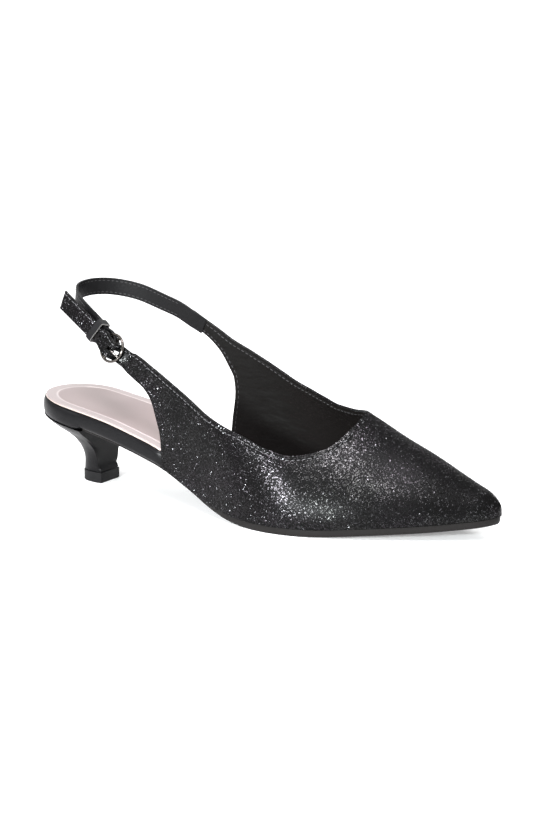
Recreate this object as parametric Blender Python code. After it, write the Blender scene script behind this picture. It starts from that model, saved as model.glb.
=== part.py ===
# Slingback pump with a pointed toe and a low flared heel, right shoe, size 38.
# Metres, +X to the toe, +Y to the inner side of the foot, +Z up.
# The origin is the middle of the heel's contact face on the floor.
import math

import bmesh
import bpy
import numpy as np
from mathutils import Vector

# Driving sizes of the shoe
shoeLength = 0.259
ballWidth = 0.074
seatHeight = 0.0362
toeSpring = 0.0084
instepRise = 0.0508
heelCentre = 0.0292
toeLean = 0.006

# Footbed and sole
rimDepth = 0.009
rimRound = 0.0011
seatReach = 0.026
noseReach = 0.0092
shankSole = 0.0018
forefootSole = 0.0036
soleInset = 0.0006
soleBevel = 0.0007
shankInset = 0.0026
sockThickness = 0.0009
sockInset = 0.0016
wall = 0.0015
gap = 0.0003
stepReach = 0.0022

# Heel
baseDepth = 0.0142
baseWidth = 0.0152
shaftWaist = 0.0012
liftHeight = 0.0056
liftChamfer = 0.0004
liftStep = 0.0003

# Sling strap, its buckle and keeper. Places along the strap are counted from the buckle's bar.
slingHeight = 0.0997
strapWidth = 0.0086
slingThickness = 0.0011
stubOverlap = 0.009
foldLength = 0.0185
tailLength = 0.0386
tailLift = 0.0008
tailDrop = 0.0041
tipCut = 0.0040
strapLift = 0.0004
ringRadius = 0.0069
wireRadius = 0.00075
barRadius = 0.0007
prongRadius = 0.0005
ringTilt = math.radians(10)
ringEase = 0.0006
slotEase = 0.0004
keeperPlace = 0.0130
keeperWidth = 0.0036
keeperThickness = 0.0009
keeperRound = 0.0009
straightPlace = 0.0095

outer = -1
inner = 1

# Outline and height of the footbed. outer and inner are half widths and shares of the ball width,
# lean is a share of the toe's lean, drop a share of the seat height, spring a share of the toe
# spring, and pad the depth from the footbed's top to the sole's underside, a share of the rim's.
bedColumns = ("share", "outer", "inner", "lean", "drop", "spring", "pad")
bedRows = (
    (0.00, 0.334, 0.334, 0.00, 1.000, 0.00, 0.98),
    (0.05, 0.340, 0.346, 0.00, 0.957, 0.00, 1.00),
    (0.12, 0.349, 0.352, 0.00, 0.878, 0.00, 1.01),
    (0.20, 0.359, 0.350, 0.00, 0.775, 0.00, 1.03),
    (0.27, 0.361, 0.344, 0.00, 0.642, 0.00, 1.03),
    (0.33, 0.369, 0.338, 0.00, 0.512, 0.00, 1.03),
    (0.40, 0.408, 0.338, 0.00, 0.312, 0.00, 0.99),
    (0.47, 0.470, 0.352, 0.00, 0.118, 0.00, 0.94),
    (0.54, 0.534, 0.388, 0.00, 0.015, 0.00, 0.80),
    (0.60, 0.565, 0.421, 0.00, 0.000, 0.00, 0.68),
    (0.67, 0.540, 0.438, 0.02, 0.000, 0.00, 0.62),
    (0.72, 0.492, 0.422, 0.08, 0.000, 0.08, 0.58),
    (0.78, 0.419, 0.376, 0.20, 0.000, 0.24, 0.58),
    (0.84, 0.332, 0.316, 0.36, 0.000, 0.40, 0.58),
    (0.90, 0.235, 0.240, 0.54, 0.000, 0.57, 0.58),
    (0.95, 0.150, 0.168, 0.74, 0.000, 0.76, 0.58),
    (1.00, 0.088, 0.101, 1.00, 0.000, 1.00, 0.58),
)

# Girth of the last above the feather line. rise is a share of the instep's rise, lift and bulge
# steer the side, outerSpread and innerSpread the breadth of the crest.
lastColumns = ("share", "rise", "lift", "bulge", "outerSpread", "innerSpread")
lastRows = (
    (0.20, 1.910, 0.40, 0.03, 1.30, 1.40),
    (0.27, 1.920, 0.40, 0.03, 1.30, 1.40),
    (0.34, 1.876, 0.40, 0.04, 1.20, 1.35),
    (0.42, 1.810, 0.42, 0.05, 1.10, 1.28),
    (0.50, 1.610, 0.42, 0.05, 1.00, 1.10),
    (0.585, 1.378, 0.42, 0.04, 0.55, 0.52),
    (0.63, 1.232, 0.42, 0.03, 0.42, 0.33),
    (0.69, 1.090, 0.40, 0.03, 0.16, 0.20),
    (0.73, 1.000, 0.40, 0.03, 0.14, 0.15),
    (0.81, 0.766, 0.40, 0.03, 0.20, 0.20),
    (0.87, 0.596, 0.42, 0.04, 0.28, 0.28),
    (0.924, 0.423, 0.45, 0.05, 0.34, 0.34),
    (0.96, 0.301, 0.50, 0.05, 0.40, 0.40),
    (0.981, 0.222, 0.52, 0.05, 0.45, 0.45),
    (1.00, 0.112, 0.55, 0.05, 0.50, 0.50),
)

# Edges of the upper on each side, from the strap's root to the toe. place walks along the shoe,
# top is the topline and then the ridge, low the rear edge and then the feather line. Rises are
# shares of the instep's rise above the feather line. The rows end at the throat.
edgeColumns = ("place", "topShare", "topRise", "lowShare", "lowRise")
outerEdgeRows = (
    (0.00, 0.280, 1.005, 0.265, 0.785),
    (0.05, 0.298, 0.988, 0.285, 0.747),
    (0.12, 0.323, 0.955, 0.302, 0.714),
    (0.18, 0.361, 0.923, 0.320, 0.632),
    (0.24, 0.395, 0.906, 0.333, 0.467),
    (0.30, 0.431, 0.885, 0.342, 0.305),
    (0.36, 0.466, 0.858, 0.345, 0.000),
    (0.46, 0.532, 0.807, 0.432, 0.000),
    (0.55, 0.592, 0.705, 0.507, 0.000),
    (0.63, 0.644, 0.648, 0.572, 0.000),
    (0.69, 0.691, 0.699, 0.617, 0.000),
    (0.73, 0.708, 0.762, 0.642, 0.000),
    (0.77, 0.723, 0.866, 0.667, 0.000),
    (0.80, 0.7345, 1.000, 0.691, 0.000),
)
innerEdgeRows = (
    (0.00, 0.278, 1.265, 0.272, 1.114),
    (0.06, 0.307, 1.234, 0.307, 1.081),
    (0.12, 0.342, 1.208, 0.342, 1.000),
    (0.17, 0.376, 1.187, 0.362, 0.894),
    (0.21, 0.404, 1.187, 0.375, 0.797),
    (0.26, 0.448, 1.175, 0.378, 0.652),
    (0.32, 0.487, 1.134, 0.372, 0.346),
    (0.37, 0.514, 1.100, 0.368, 0.000),
    (0.47, 0.562, 1.051, 0.442, 0.000),
    (0.56, 0.602, 1.010, 0.517, 0.000),
    (0.64, 0.641, 0.970, 0.577, 0.000),
    (0.72, 0.681, 0.970, 0.626, 0.000),
    (0.77, 0.713, 0.983, 0.663, 0.000),
    (0.80, 0.7345, 1.000, 0.691, 0.000),
)

# Heel between its shaft and the seat: how far each level has grown from one to the other.
flareColumns = ("level", "flare")
flareRows = (
    (0.00, 0.000),
    (0.20, 0.000),
    (0.32, 0.035),
    (0.43, 0.100),
    (0.54, 0.210),
    (0.67, 0.390),
    (0.80, 0.640),
    (0.90, 0.850),
    (1.00, 1.000),
)

# The strap's way round the back of the ankle, from the outer quarter's strap to the inner one's.
# share runs from the seat's back, side is a share of the ball width, height goes from 0 at the
# quarter of that side to 1 at the sling's height, and tilt leans the strap's top in, in radians.
slingColumns = ("share", "side", "height", "tilt")
slingRows = (
    (0.255, -0.390, 0.115, 0.20),
    (0.234, -0.393, 0.231, 0.28),
    (0.194, -0.368, 0.506, 0.30),
    (0.157, -0.318, 0.708, 0.25),
    (0.120, -0.236, 0.863, 0.15),
    (0.093, -0.122, 0.955, 0.08),
    (0.084, 0.000, 0.990, 0.05),
    (0.093, 0.118, 1.000, 0.05),
    (0.120, 0.218, 0.939, 0.05),
    (0.162, 0.288, 0.763, 0.05),
    (0.209, 0.322, 0.460, 0.06),
    (0.246, 0.330, 0.243, 0.08),
)
barRow = 3

# The strap's free end past the buckle: part runs from the ring's rear to the tip, lift and drop are
# shares of how far the tip stands off the sling strap and hangs below its middle.
tailColumns = ("part", "lift", "drop")
tailRows = (
    (0.07, 0.000, 0.21),
    (0.18, 0.000, 0.36),
    (0.34, 0.060, 0.48),
    (0.60, 0.300, 0.69),
    (0.83, 0.650, 0.87),
    (1.00, 1.000, 1.00),
)


def column(columns, rows, name):
    return np.array([row[columns.index(name)] for row in rows], dtype=float)


def smooth(x, y, at):
    # Monotone cubic through the rows: no overshoot between two sections.
    at = np.clip(np.asarray(at, dtype=float), x[0], x[-1])
    step = np.diff(x)
    slope = np.diff(y) / step
    tangent = np.zeros(len(x))
    tangent[0], tangent[-1] = slope[0], slope[-1]
    for k in range(1, len(x) - 1):
        if slope[k - 1] * slope[k] > 0:
            before, after = step[k - 1] + 2 * step[k], 2 * step[k - 1] + step[k]
            tangent[k] = (before + after) / (before / slope[k] + after / slope[k - 1])
    cell = np.clip(np.searchsorted(x, at, side="right") - 1, 0, len(step) - 1)
    t = (at - x[cell]) / step[cell]
    rise = (1 + 2 * t) * (1 - t) ** 2 * y[cell] + t * t * (3 - 2 * t) * y[cell + 1]
    bend = t * (1 - t) ** 2 * tangent[cell] - t * t * (1 - t) * tangent[cell + 1]
    return rise + step[cell] * bend


def spline(x, y, at):
    # Natural cubic through the rows, for the shoe's long fair lines.
    at = np.clip(np.asarray(at, dtype=float), x[0], x[-1])
    step = np.diff(x)
    count = len(x)
    system = np.eye(count)
    load = np.zeros(count)
    for k in range(1, count - 1):
        system[k, k - 1:k + 2] = (step[k - 1], 2 * (step[k - 1] + step[k]), step[k])
        load[k] = 6 * ((y[k + 1] - y[k]) / step[k] - (y[k] - y[k - 1]) / step[k - 1])
    bend = np.linalg.solve(system, load)
    cell = np.clip(np.searchsorted(x, at, side="right") - 1, 0, len(step) - 1)
    ahead = (at - x[cell]) / step[cell]
    behind = 1 - ahead
    return (behind * y[cell] + ahead * y[cell + 1]
            + ((behind ** 3 - behind) * bend[cell] + (ahead ** 3 - ahead) * bend[cell + 1])
            * step[cell] ** 2 / 6)


def bed(name, share):
    through = smooth if name in ("drop", "spring") else spline
    return through(column(bedColumns, bedRows, "share"), column(bedColumns, bedRows, name), share)


def last(name, share):
    return spline(column(lastColumns, lastRows, "share"), column(lastColumns, lastRows, name), share)


def forward(share):
    return np.asarray(share) * shoeLength - heelCentre


def centre(share):
    return bed("lean", share) * toeLean


def roundedEnds(share):
    back = np.clip(np.asarray(share) * shoeLength / seatReach, 0, 1)
    nose = np.clip((1 - np.asarray(share)) * shoeLength / noseReach, 0, 1)
    return np.sqrt(1 - (1 - back) ** 2) * np.sqrt(1 - (1 - nose) ** 2)


def halfWidth(share, side):
    name = "outer" if side == outer else "inner"
    return bed(name, share) * ballWidth * roundedEnds(share)


def soleUnder(share):
    return bed("drop", share) * seatHeight + bed("spring", share) * toeSpring


def soleThickness(share):
    blend = np.clip((np.asarray(share) - 0.38) / 0.2, 0, 1)
    return shankSole + (forefootSole - shankSole) * blend * blend * (3 - 2 * blend)


def feather(share):
    return soleUnder(share) + soleThickness(share) + gap


def bedTop(share):
    return soleUnder(share) + bed("pad", share) * rimDepth


def stations(first, final, count):
    # Shares along the shoe, closer together at a rounded end that they reach.
    even = np.linspace(0, 1, count)
    if first == 0 and final == 1:
        walk = 0.5 - 0.5 * np.cos(math.pi * even)
        walk = 0.62 * walk + 0.38 * even
        walk[0], walk[-1] = 0, 1
    elif first == 0:
        walk = 1 - np.cos(math.pi / 2 * even)
    else:
        walk = np.sin(math.pi / 2 * even)
    return first + (final - first) * walk


def outlineSide(shares, side, inset):
    # Plan points along one side, moved in from the edge along its normal.
    reach = 0.0002
    ahead = np.clip(shares + reach, 0, 1)
    behind = np.clip(shares - reach, 0, 1)
    dx = forward(ahead) - forward(behind)
    dy = centre(ahead) - centre(behind) + side * (halfWidth(ahead, side) - halfWidth(behind, side))
    size = np.hypot(dx, dy)
    x = forward(shares) + side * dy / size * inset
    y = centre(shares) + side * halfWidth(shares, side) - side * dx / size * inset
    x = np.where(shares <= 0, forward(0) + inset, np.where(shares >= 1, forward(1) - inset, x))
    y = np.where((shares <= 0) | (shares >= 1), centre(shares), y)
    return x, y


def ring(shares, inset, height):
    # Closed loop round the shoe: back, outer side, toe, inner side.
    insets = inset if callable(inset) else (lambda share, side: np.full(len(share), inset))
    loop = []
    for side, order in ((outer, slice(None, None, 1)), (inner, slice(-2, 0, -1))):
        x, y = outlineSide(shares, side, insets(shares, side))
        z = height(shares)
        loop += list(zip(x[order], y[order], z[order]))
    return loop


def addRing(mesh, points):
    return [mesh.verts.new(point) for point in points]


def bridge(mesh, low, high):
    count = len(low)
    for k in range(count):
        after = (k + 1) % count
        mesh.faces.new((low[k], low[after], high[after], high[k]))


def capPairs(mesh, loop, half, flip):
    # Strips across a loop whose halves face each other.
    count = len(loop)
    for k in range(half):
        face = [loop[k], loop[k + 1], loop[(count - k - 1) % count], loop[(count - k) % count]]
        corners = list(dict.fromkeys(face))
        mesh.faces.new(corners[::-1] if flip else corners)


def makeMaterial(name, colour, roughness, metallic):
    material = bpy.data.materials.new(name)
    material.use_nodes = True
    shader = material.node_tree.nodes["Principled BSDF"]
    shader.inputs["Base Color"].default_value = (*colour, 1)
    shader.inputs["Roughness"].default_value = roughness
    shader.inputs["Metallic"].default_value = metallic
    material.diffuse_color = (*colour, 1)
    return material


def finish(mesh, name, material, sharpAngle=40):
    bmesh.ops.recalc_face_normals(mesh, faces=mesh.faces)
    data = bpy.data.meshes.new(name)
    mesh.to_mesh(data)
    mesh.free()
    data.materials.append(material)
    data.shade_smooth()
    data.set_sharp_from_angle(angle=math.radians(sharpAngle))
    part = bpy.data.objects.new(name, data)
    bpy.context.scene.collection.objects.link(part)
    return part


def slab(name, shares, levels, material):
    # A plate through the shoe, from its lowest level to its highest.
    mesh = bmesh.new()
    rings = [addRing(mesh, ring(shares, inset, height)) for inset, height in levels]
    for low, high in zip(rings, rings[1:]):
        bridge(mesh, low, high)
    half = len(shares) - 1
    capPairs(mesh, rings[0], half, True)
    capPairs(mesh, rings[-1], half, False)
    return finish(mesh, name, material)


def wallCover(share, side):
    # 1 where the upper's wall stands outside the footbed, 0 behind its rear corner.
    rows = outerEdgeRows if side == outer else innerEdgeRows
    corner = min(row[3] for row in rows if row[4] == 0)
    start = corner - 3 * gap / shoeLength
    return np.clip((share - start) * shoeLength / stepReach + 1, 0, 1)


def bedStations():
    base = list(stations(0, 1, 34)) + [breastShare() - gap / 3 / shoeLength, breastShare()]
    for rows in (outerEdgeRows, innerEdgeRows):
        corner = min(row[3] for row in rows if row[4] == 0) - 3 * gap / shoeLength
        base += [corner - stepReach / shoeLength, corner]
    return np.array(sorted(base))


def makeFootbed(material):
    shares = bedStations()

    def inset(extra):
        return lambda share, side: extra + wallCover(share, side) * (wall + gap)

    def level(part):
        low = lambda share: soleUnder(share) + gap + np.where(
            share < breastShare(), 0, soleThickness(share))
        return lambda share: low(share) + part * (bedTop(share) - low(share))

    levels = (
        (inset(rimRound), level(0.0)),
        (inset(rimRound * 0.27), level(0.14)),
        (inset(0.0), level(0.45)),
        (inset(rimRound * 0.27), level(0.88)),
        (inset(rimRound), level(1.0)),
    )
    return slab("footbed", shares, levels, material)


def makeSock(material):
    shares = bedStations()

    def inset(share, side):
        return sockInset + wallCover(share, side) * (wall + gap)

    base = lambda share: bedTop(share) + gap
    top = lambda share: bedTop(share) + gap + sockThickness
    return slab("insole_sock", shares, ((inset, base), (inset, top)), material)


def breastShare():
    return (heelCentre + baseDepth / 2) / shoeLength


def makeOutsole(material):
    shares = stations(breastShare() + gap / shoeLength, 1, 36)

    def inset(extra):
        def at(share, side):
            blend = np.clip((share - 0.36) / 0.16, 0, 1)
            return shankInset + (soleInset - shankInset) * blend * blend * (3 - 2 * blend) + extra
        return at

    mesh = bmesh.new()
    rings = []
    for extra, part in ((soleBevel, 0.0), (0.0, 0.3), (0.0, 1.0)):
        loop = []
        for side, order in ((outer, slice(None)), (inner, slice(-2, None, -1))):
            x, y = outlineSide(shares, side, inset(extra)(shares, side))
            z = soleUnder(shares) + part * soleThickness(shares)
            loop += list(zip(x[order], y[order], z[order]))
        rings.append(addRing(mesh, loop))
    for low, high in zip(rings, rings[1:]):
        bridge(mesh, low, high)
    half = len(shares) - 1
    for loop, flip in ((rings[0], True), (rings[-1], False)):
        count = len(loop)
        for k in range(half):
            face = (loop[k], loop[k + 1], loop[count - k - 2], loop[count - k - 1])
            corners = list(dict.fromkeys(face))
            mesh.faces.new(corners[::-1] if flip else corners)
    return finish(mesh, "outsole", material)


def shaftLoop(grow, count, across):
    # D shape round the origin: rounded back, flat breast towards the toe.
    points = []
    for k in range(count + 1):
        turn = -math.pi / 2 + math.pi * k / count
        points.append((baseDepth / 2 - baseDepth * max(math.cos(turn), 0) ** 0.85 - grow,
                       baseWidth / 2 * math.copysign(abs(math.sin(turn)) ** 0.8, turn)
                       + math.copysign(grow, turn) * min(1, abs(turn) * 4)))
    points[0] = (baseDepth / 2 + grow, -baseWidth / 2 - grow)
    points[-1] = (baseDepth / 2 + grow, baseWidth / 2 + grow)
    front = []
    for k in range(1, across):
        front.append((baseDepth / 2 + grow, (baseWidth / 2 + grow) * (1 - 2 * k / across)))
    return points + front


def seatLoop(count, across):
    # The same walk round the seat's edge, from breast to breast.
    half = count // 2
    shares = stations(0, breastShare(), half + 1)
    outerX, outerY = outlineSide(shares, outer, np.full(len(shares), rimRound * 0.6))
    innerX, innerY = outlineSide(shares, inner, np.full(len(shares), rimRound * 0.6))
    points = list(zip(outerX[::-1], outerY[::-1])) + list(zip(innerX[1:], innerY[1:]))
    front = []
    for k in range(1, across):
        part = k / across
        front.append((points[-1][0], points[-1][1] * (1 - part) + points[0][1] * part))
    return points + front


def makeHeel(material):
    count, across = 28, 6
    seat = seatLoop(count, across)
    mesh = bmesh.new()
    rings = []
    floorEdge = liftHeight + gap
    levels = np.linspace(0, 1, 15)
    flares = smooth(column(flareColumns, flareRows, "level"),
                    column(flareColumns, flareRows, "flare"), levels)
    for level, flare in zip(levels, flares):
        points = []
        waist = min(level / 0.2, 1)
        shaft = shaftLoop(-shaftWaist * waist * waist * (3 - 2 * waist), count, across)
        for (shaftX, shaftY), (seatX, seatY) in zip(shaft, seat):
            share = (seatX + heelCentre) / shoeLength
            top = float(soleUnder(share))
            points.append((shaftX + (seatX - shaftX) * flare, shaftY + (seatY - shaftY) * flare,
                           floorEdge + (top - floorEdge) * level))
        rings.append(addRing(mesh, points))
    for low, high in zip(rings, rings[1:]):
        bridge(mesh, low, high)
    capLoop(mesh, rings[0], count, across, True)
    capLoop(mesh, rings[-1], count, across, False)
    return finish(mesh, "heel", material)


def capLoop(mesh, loop, count, across, flip):
    # Strips across the D, from the breast back to the rear point.
    half = count // 2
    for k in range(half):
        face = [loop[k], loop[k + 1], loop[count - k - 1], loop[count - k]]
        corners = list(dict.fromkeys(face))
        mesh.faces.new(corners if not flip else corners[::-1])
    front = [loop[0]] + [loop[count]] + loop[count + 1:]
    mesh.faces.new(front if not flip else front[::-1])


def makeTopPiece(material):
    count, across = 28, 6
    mesh = bmesh.new()
    rings = []
    for grow, height in ((liftStep - liftChamfer, 0), (liftStep, liftChamfer), (liftStep, liftHeight)):
        rings.append(addRing(mesh, [(x, y, height) for x, y in shaftLoop(grow, count, across)]))
    for low, high in zip(rings, rings[1:]):
        bridge(mesh, low, high)
    capLoop(mesh, rings[0], count, across, True)
    capLoop(mesh, rings[-1], count, across, False)
    return finish(mesh, "top_piece", material)


def lastPoint(share, rib, side):
    # A point of the last's skin: rib is 0 at the feather line and 1 on the ridge.
    wide = halfWidth(share, side)
    low = feather(share)
    rise = last("rise", share) * instepRise
    spread = last("outerSpread" if side == outer else "innerSpread", share)
    a, b, c, d = (1 - rib) ** 3, 3 * rib * (1 - rib) ** 2, 3 * rib ** 2 * (1 - rib), rib ** 3
    across = a * wide + b * wide * (1 + last("bulge", share)) + c * wide * spread
    height = low + rise * (b * last("lift", share) + c + d)
    return np.stack([forward(share), centre(share) + side * across, height], axis=-1)


def ribAt(share, rise):
    # The rib share at which the skin has a wanted rise above the feather line.
    wanted = rise * instepRise
    full = last("rise", share) * instepRise
    lift = last("lift", share)
    low, high = np.zeros_like(wanted), np.ones_like(wanted)
    for _ in range(40):
        middle = (low + high) / 2
        reached = full * (3 * middle * (1 - middle) ** 2 * lift
                          + 3 * middle ** 2 * (1 - middle) + middle ** 3)
        low = np.where(reached < wanted, middle, low)
        high = np.where(reached < wanted, high, middle)
    return (low + high) / 2


ribCount = 8
cornerPlace = 0.36
ballPlace = 0.64
throatPlace = outerEdgeRows[-1][0]
tiny = 1e-9


def shoePlaces():
    quarter = np.linspace(0, cornerPlace, 11)
    waist = np.linspace(cornerPlace, ballPlace, 9)[1:]
    throat = throatPlace - (throatPlace - ballPlace) * (1 - np.linspace(0, 1, 11)[1:]) ** 1.3
    toe = throatPlace + (1 - throatPlace) * (1 - (1 - np.linspace(0, 1, 15)[1:]) ** 1.45)
    return np.concatenate([quarter, waist, throat, toe])


def sideRibs(rows, side):
    # Skin points by rib, from the strap's root to the toe, each from its low edge to its top.
    places = shoePlaces()
    at = column(edgeColumns, rows, "place")
    throat = rows[-1]
    topShare = smooth(at, column(edgeColumns, rows, "topShare"), places)
    topRise = smooth(at, column(edgeColumns, rows, "topRise"), places)
    lowShare = smooth(at, column(edgeColumns, rows, "lowShare"), places)
    lowRise = smooth(at, column(edgeColumns, rows, "lowRise"), places)
    ahead = np.clip((places - throat[0]) / (1 - throat[0]), 0, 1)
    front = places >= throat[0] - tiny
    topShare = np.where(front, throat[1] + (1 - throat[1]) * ahead, topShare)
    lowShare = np.where(front, throat[3] + (1 - throat[3]) * ahead, lowShare)
    topRib = np.where(front, 1.0, ribAt(topShare, topRise))
    lowRib = np.where(lowRise <= tiny, 0.0, ribAt(lowShare, lowRise))
    ribs = []
    for k in range(len(places)):
        w = np.linspace(0, 1, ribCount + 1)
        share = lowShare[k] + (topShare[k] - lowShare[k]) * w
        rib = lowRib[k] + (topRib[k] - lowRib[k]) * w
        ribs.append(lastPoint(share, rib, side))
    return places, ribs


def strapRoot(rows, side, place):
    # Middle of the quarter's strap on the skin, at a place along the shoe, and its lean.
    at = column(edgeColumns, rows, "place")
    low = [smooth(at, column(edgeColumns, rows, name), [place]) for name in ("lowShare", "lowRise")]
    top = [smooth(at, column(edgeColumns, rows, name), [place]) for name in ("topShare", "topRise")]
    share = (low[0] + top[0]) / 2
    edges = [ribAt(share, level[1]) for level in (low, top)]
    lower, middle, upper = (lastPoint(share, rib, side)[0] for rib in (edges[0], sum(edges) / 2, edges[1]))
    return middle, math.atan2(side * (lower[1] - upper[1]), upper[2] - lower[2])


def slingGuide():
    # Points and leans of the strap's middle, with two in each quarter's strap at its ends.
    inside = {outer: wall / 2, inner: wall + gap + slingThickness / 2}
    ends = {}
    for side, rows in ((outer, outerEdgeRows), (inner, innerEdgeRows)):
        ends[side] = []
        for place in (0.06, 0.0):
            point, lean = strapRoot(rows, side, place)
            point[1] -= side * inside[side]
            ends[side].append((*point, lean))
    guide = list(ends[outer])
    for values in slingRows:
        row = dict(zip(slingColumns, values))
        root = ends[outer if row["side"] <= 0 else inner][1][2]
        height = root + row["height"] * (slingHeight - root)
        guide.append((float(forward(row["share"])), row["side"] * ballWidth, height, row["tilt"]))
    return np.array(guide + ends[inner][::-1])


def slingFrame():
    # Centre line of the strap: points, run along it from the bar, tangents, outward normals.
    rows = slingGuide()
    fine = np.linspace(0, len(rows) - 1, 601)
    line = np.stack([catmull(rows[:, k], fine) for k in range(3)], axis=1)
    tilt = catmull(rows[:, 3], fine)[:, None]
    step = np.linalg.norm(np.diff(line, axis=0), axis=1)
    run = np.concatenate([[0], np.cumsum(step)])
    run -= np.interp(barRow, fine, run)
    tangent = np.gradient(line, run, axis=0)
    tangent /= np.linalg.norm(tangent, axis=1)[:, None]
    outward = -np.cross(tangent, [0, 0, 1.0])
    outward /= np.linalg.norm(outward, axis=1)[:, None]
    across = np.cross(outward, tangent)
    across *= np.sign(across[:, 2])[:, None]
    leaned = outward * np.cos(tilt) + across * np.sin(tilt)
    across = across * np.cos(tilt) - outward * np.sin(tilt)
    return run, line, tangent, leaned, across


def catmull(values, at):
    # Catmull-Rom curve through evenly numbered rows.
    cell = np.clip(np.floor(at).astype(int), 0, len(values) - 2)
    t = at - cell
    before = values[np.clip(cell - 1, 0, len(values) - 1)]
    start, end = values[cell], values[cell + 1]
    after = values[np.clip(cell + 2, 0, len(values) - 1)]
    return 0.5 * (2 * start + (end - before) * t + (2 * before - 5 * start + 4 * end - after) * t ** 2
                  + (3 * start - before - 3 * end + after) * t ** 3)


class Route:
    def __init__(self):
        self.run, self.line, self.tangent, self.outward, self.across = slingFrame()
        root = slingGuide()[-2][:3]
        self.innerRoot = float(self.run[np.argmin(np.linalg.norm(self.line - root, axis=1))])

    def at(self, run, lift=0.0, climb=0.0):
        # A point beside the strap's centre line, moved outward and up its width.
        pick = lambda table: np.array([np.interp(run, self.run, table[:, k]) for k in range(3)])
        return pick(self.line) + pick(self.outward) * lift + pick(self.across) * climb

    def axes(self, run):
        pick = lambda table: np.array([np.interp(run, self.run, table[:, k]) for k in range(3)])
        return pick(self.tangent), pick(self.outward), pick(self.across)


def ringLift():
    # How far the tilted ring's front rim stands out of the strap's line, and its rear rim in.
    return ringRadius * math.sin(ringTilt)


def lapLanes():
    # Lifts of the sling strap's two layers under the upper's strap, the folded end first.
    first = strapLift - wall / 2 - gap - slingThickness / 2
    return first, first - slingThickness - gap


def tailWay():
    # Run, lift and drop of the upper's strap: under the ring's front, over the bar, over the rear.
    under = ringLift() - wireRadius - ringEase - wall / 2
    crown = barRadius + slingThickness + wall / 2 + 2 * gap + slotEase / 2
    rear = wireRadius - ringLift() + ringEase + wall / 2
    way = [(-1.45, under / 2), (-1.0, under), (-0.76, under), (-0.64, under * 0.93), (-0.51, crown * 0.27),
           (-0.27, crown * 0.91), (0.0, crown), (0.38, crown * 0.79), (1.0, rear)]
    way = [(part * ringRadius, lift, 0.0) for part, lift in way]
    start = 1.08 * ringRadius
    for values in tailRows:
        row = dict(zip(tailColumns, values))
        place = start + row["part"] * (tailLength - start)
        way.append((place, strapLift + row["lift"] * tailLift, row["drop"] * tailDrop))
    return np.array(way).T


def makeUpper(route, material):
    mesh = bmesh.new()
    grids = {}
    for side, rows in ((outer, outerEdgeRows), (inner, innerEdgeRows)):
        places, ribs = sideRibs(rows, side)
        grids[side] = [[tuple(point) for point in rib] for rib in ribs]
    grids[outer] = strapRibs(route) + grids[outer]
    strapCount = len(grids[outer]) - len(places)
    verts = {}
    for side in (outer, inner):
        skip = strapCount if side == outer else 0
        verts[side] = []
        for number, rib in enumerate(grids[side]):
            place = places[number - skip] if number >= skip else -1
            line = []
            for level, point in enumerate(rib):
                joined = place >= throatPlace - tiny and level == ribCount
                shared = side == inner and (joined or place >= 1 - tiny)
                if shared:
                    line.append(verts[outer][number + strapCount][level])
                else:
                    line.append(mesh.verts.new(point))
            verts[side].append(line)
    for side in (outer, inner):
        for first, second in zip(verts[side], verts[side][1:]):
            for level in range(ribCount):
                face = [first[level], second[level], second[level + 1], first[level + 1]]
                corners = list(dict.fromkeys(face))
                if len(corners) > 2:
                    mesh.faces.new(corners if side == outer else corners[::-1])
    mesh.normal_update()
    feet = set()
    for side in (outer, inner):
        skip = strapCount if side == outer else 0
        for number, line in enumerate(verts[side]):
            if number >= skip and places[number - skip] >= cornerPlace - tiny:
                feet.add(line[0])
    thicken(mesh, feet)
    return finish(mesh, "upper", material, 55)


def thicken(mesh, feet):
    # Inner skin at the wall's thickness, joined to the outer one round every free edge.
    skin = list(mesh.verts)
    faces = list(mesh.faces)
    free = [edge for edge in mesh.edges if edge.is_boundary]
    twin = {}
    for vert in skin:
        point = vert.co - vert.normal * wall
        if vert in feet:
            point.z = vert.co.z
        twin[vert] = mesh.verts.new(point)
    for face in faces:
        mesh.faces.new([twin[vert] for vert in reversed(face.verts)])
    for edge in free:
        loop = edge.link_loops[0]
        start, end = loop.vert, loop.link_loop_next.vert
        mesh.faces.new((end, start, twin[start], twin[end]))


def strapPoint(route, run, lift, climb):
    # A point of the upper's loose strap: past its bend behind the ring it runs straight on.
    if run <= straightPlace:
        return route.at(run, lift, climb)
    tangent, outward, across = route.axes(straightPlace)
    return route.at(straightPlace) + tangent * (run - straightPlace) + outward * lift + across * climb


def strapRibs(route):
    # Ribs across the loose strap, from its tip to the quarter's first rib.
    run, lift, drop = tailWay()
    loose = 1.45 * ringRadius
    steps = np.concatenate([np.linspace(tailLength, loose, 12)[:-1], np.linspace(loose, -loose, 17)])
    ribs = []
    for step in steps:
        lean = tipCut / 2 * np.clip((step - tailLength) / (tipCut / 2) + 1, 0, 1)
        rib = []
        for level in range(ribCount + 1):
            w = level / ribCount - 0.5
            place = step + lean * 2 * w
            skin = float(smooth(run, lift, place)) + wall / 2
            rise = w * strapWidth - float(smooth(run, drop, place))
            rib.append(tuple(strapPoint(route, place, skin, rise)))
        ribs.append(rib)
    return ribs


def ribbon(mesh, path, width, thickness, ribs):
    # A strip along a path of (point, along, up): up is across the strip's width.
    rings = []
    for point, along, up in path:
        side = np.cross(along, up)
        side /= np.linalg.norm(side)
        loop = []
        for face in (1, -1):
            for k in range(ribs + 1):
                part = (k / ribs - 0.5) * width * face
                loop.append(mesh.verts.new(point + up * part + side * thickness / 2 * face))
        rings.append(loop)
    for low, high in zip(rings, rings[1:]):
        bridge(mesh, low, high)
    mesh.faces.new(rings[0][::-1])
    mesh.faces.new(rings[-1])


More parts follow.
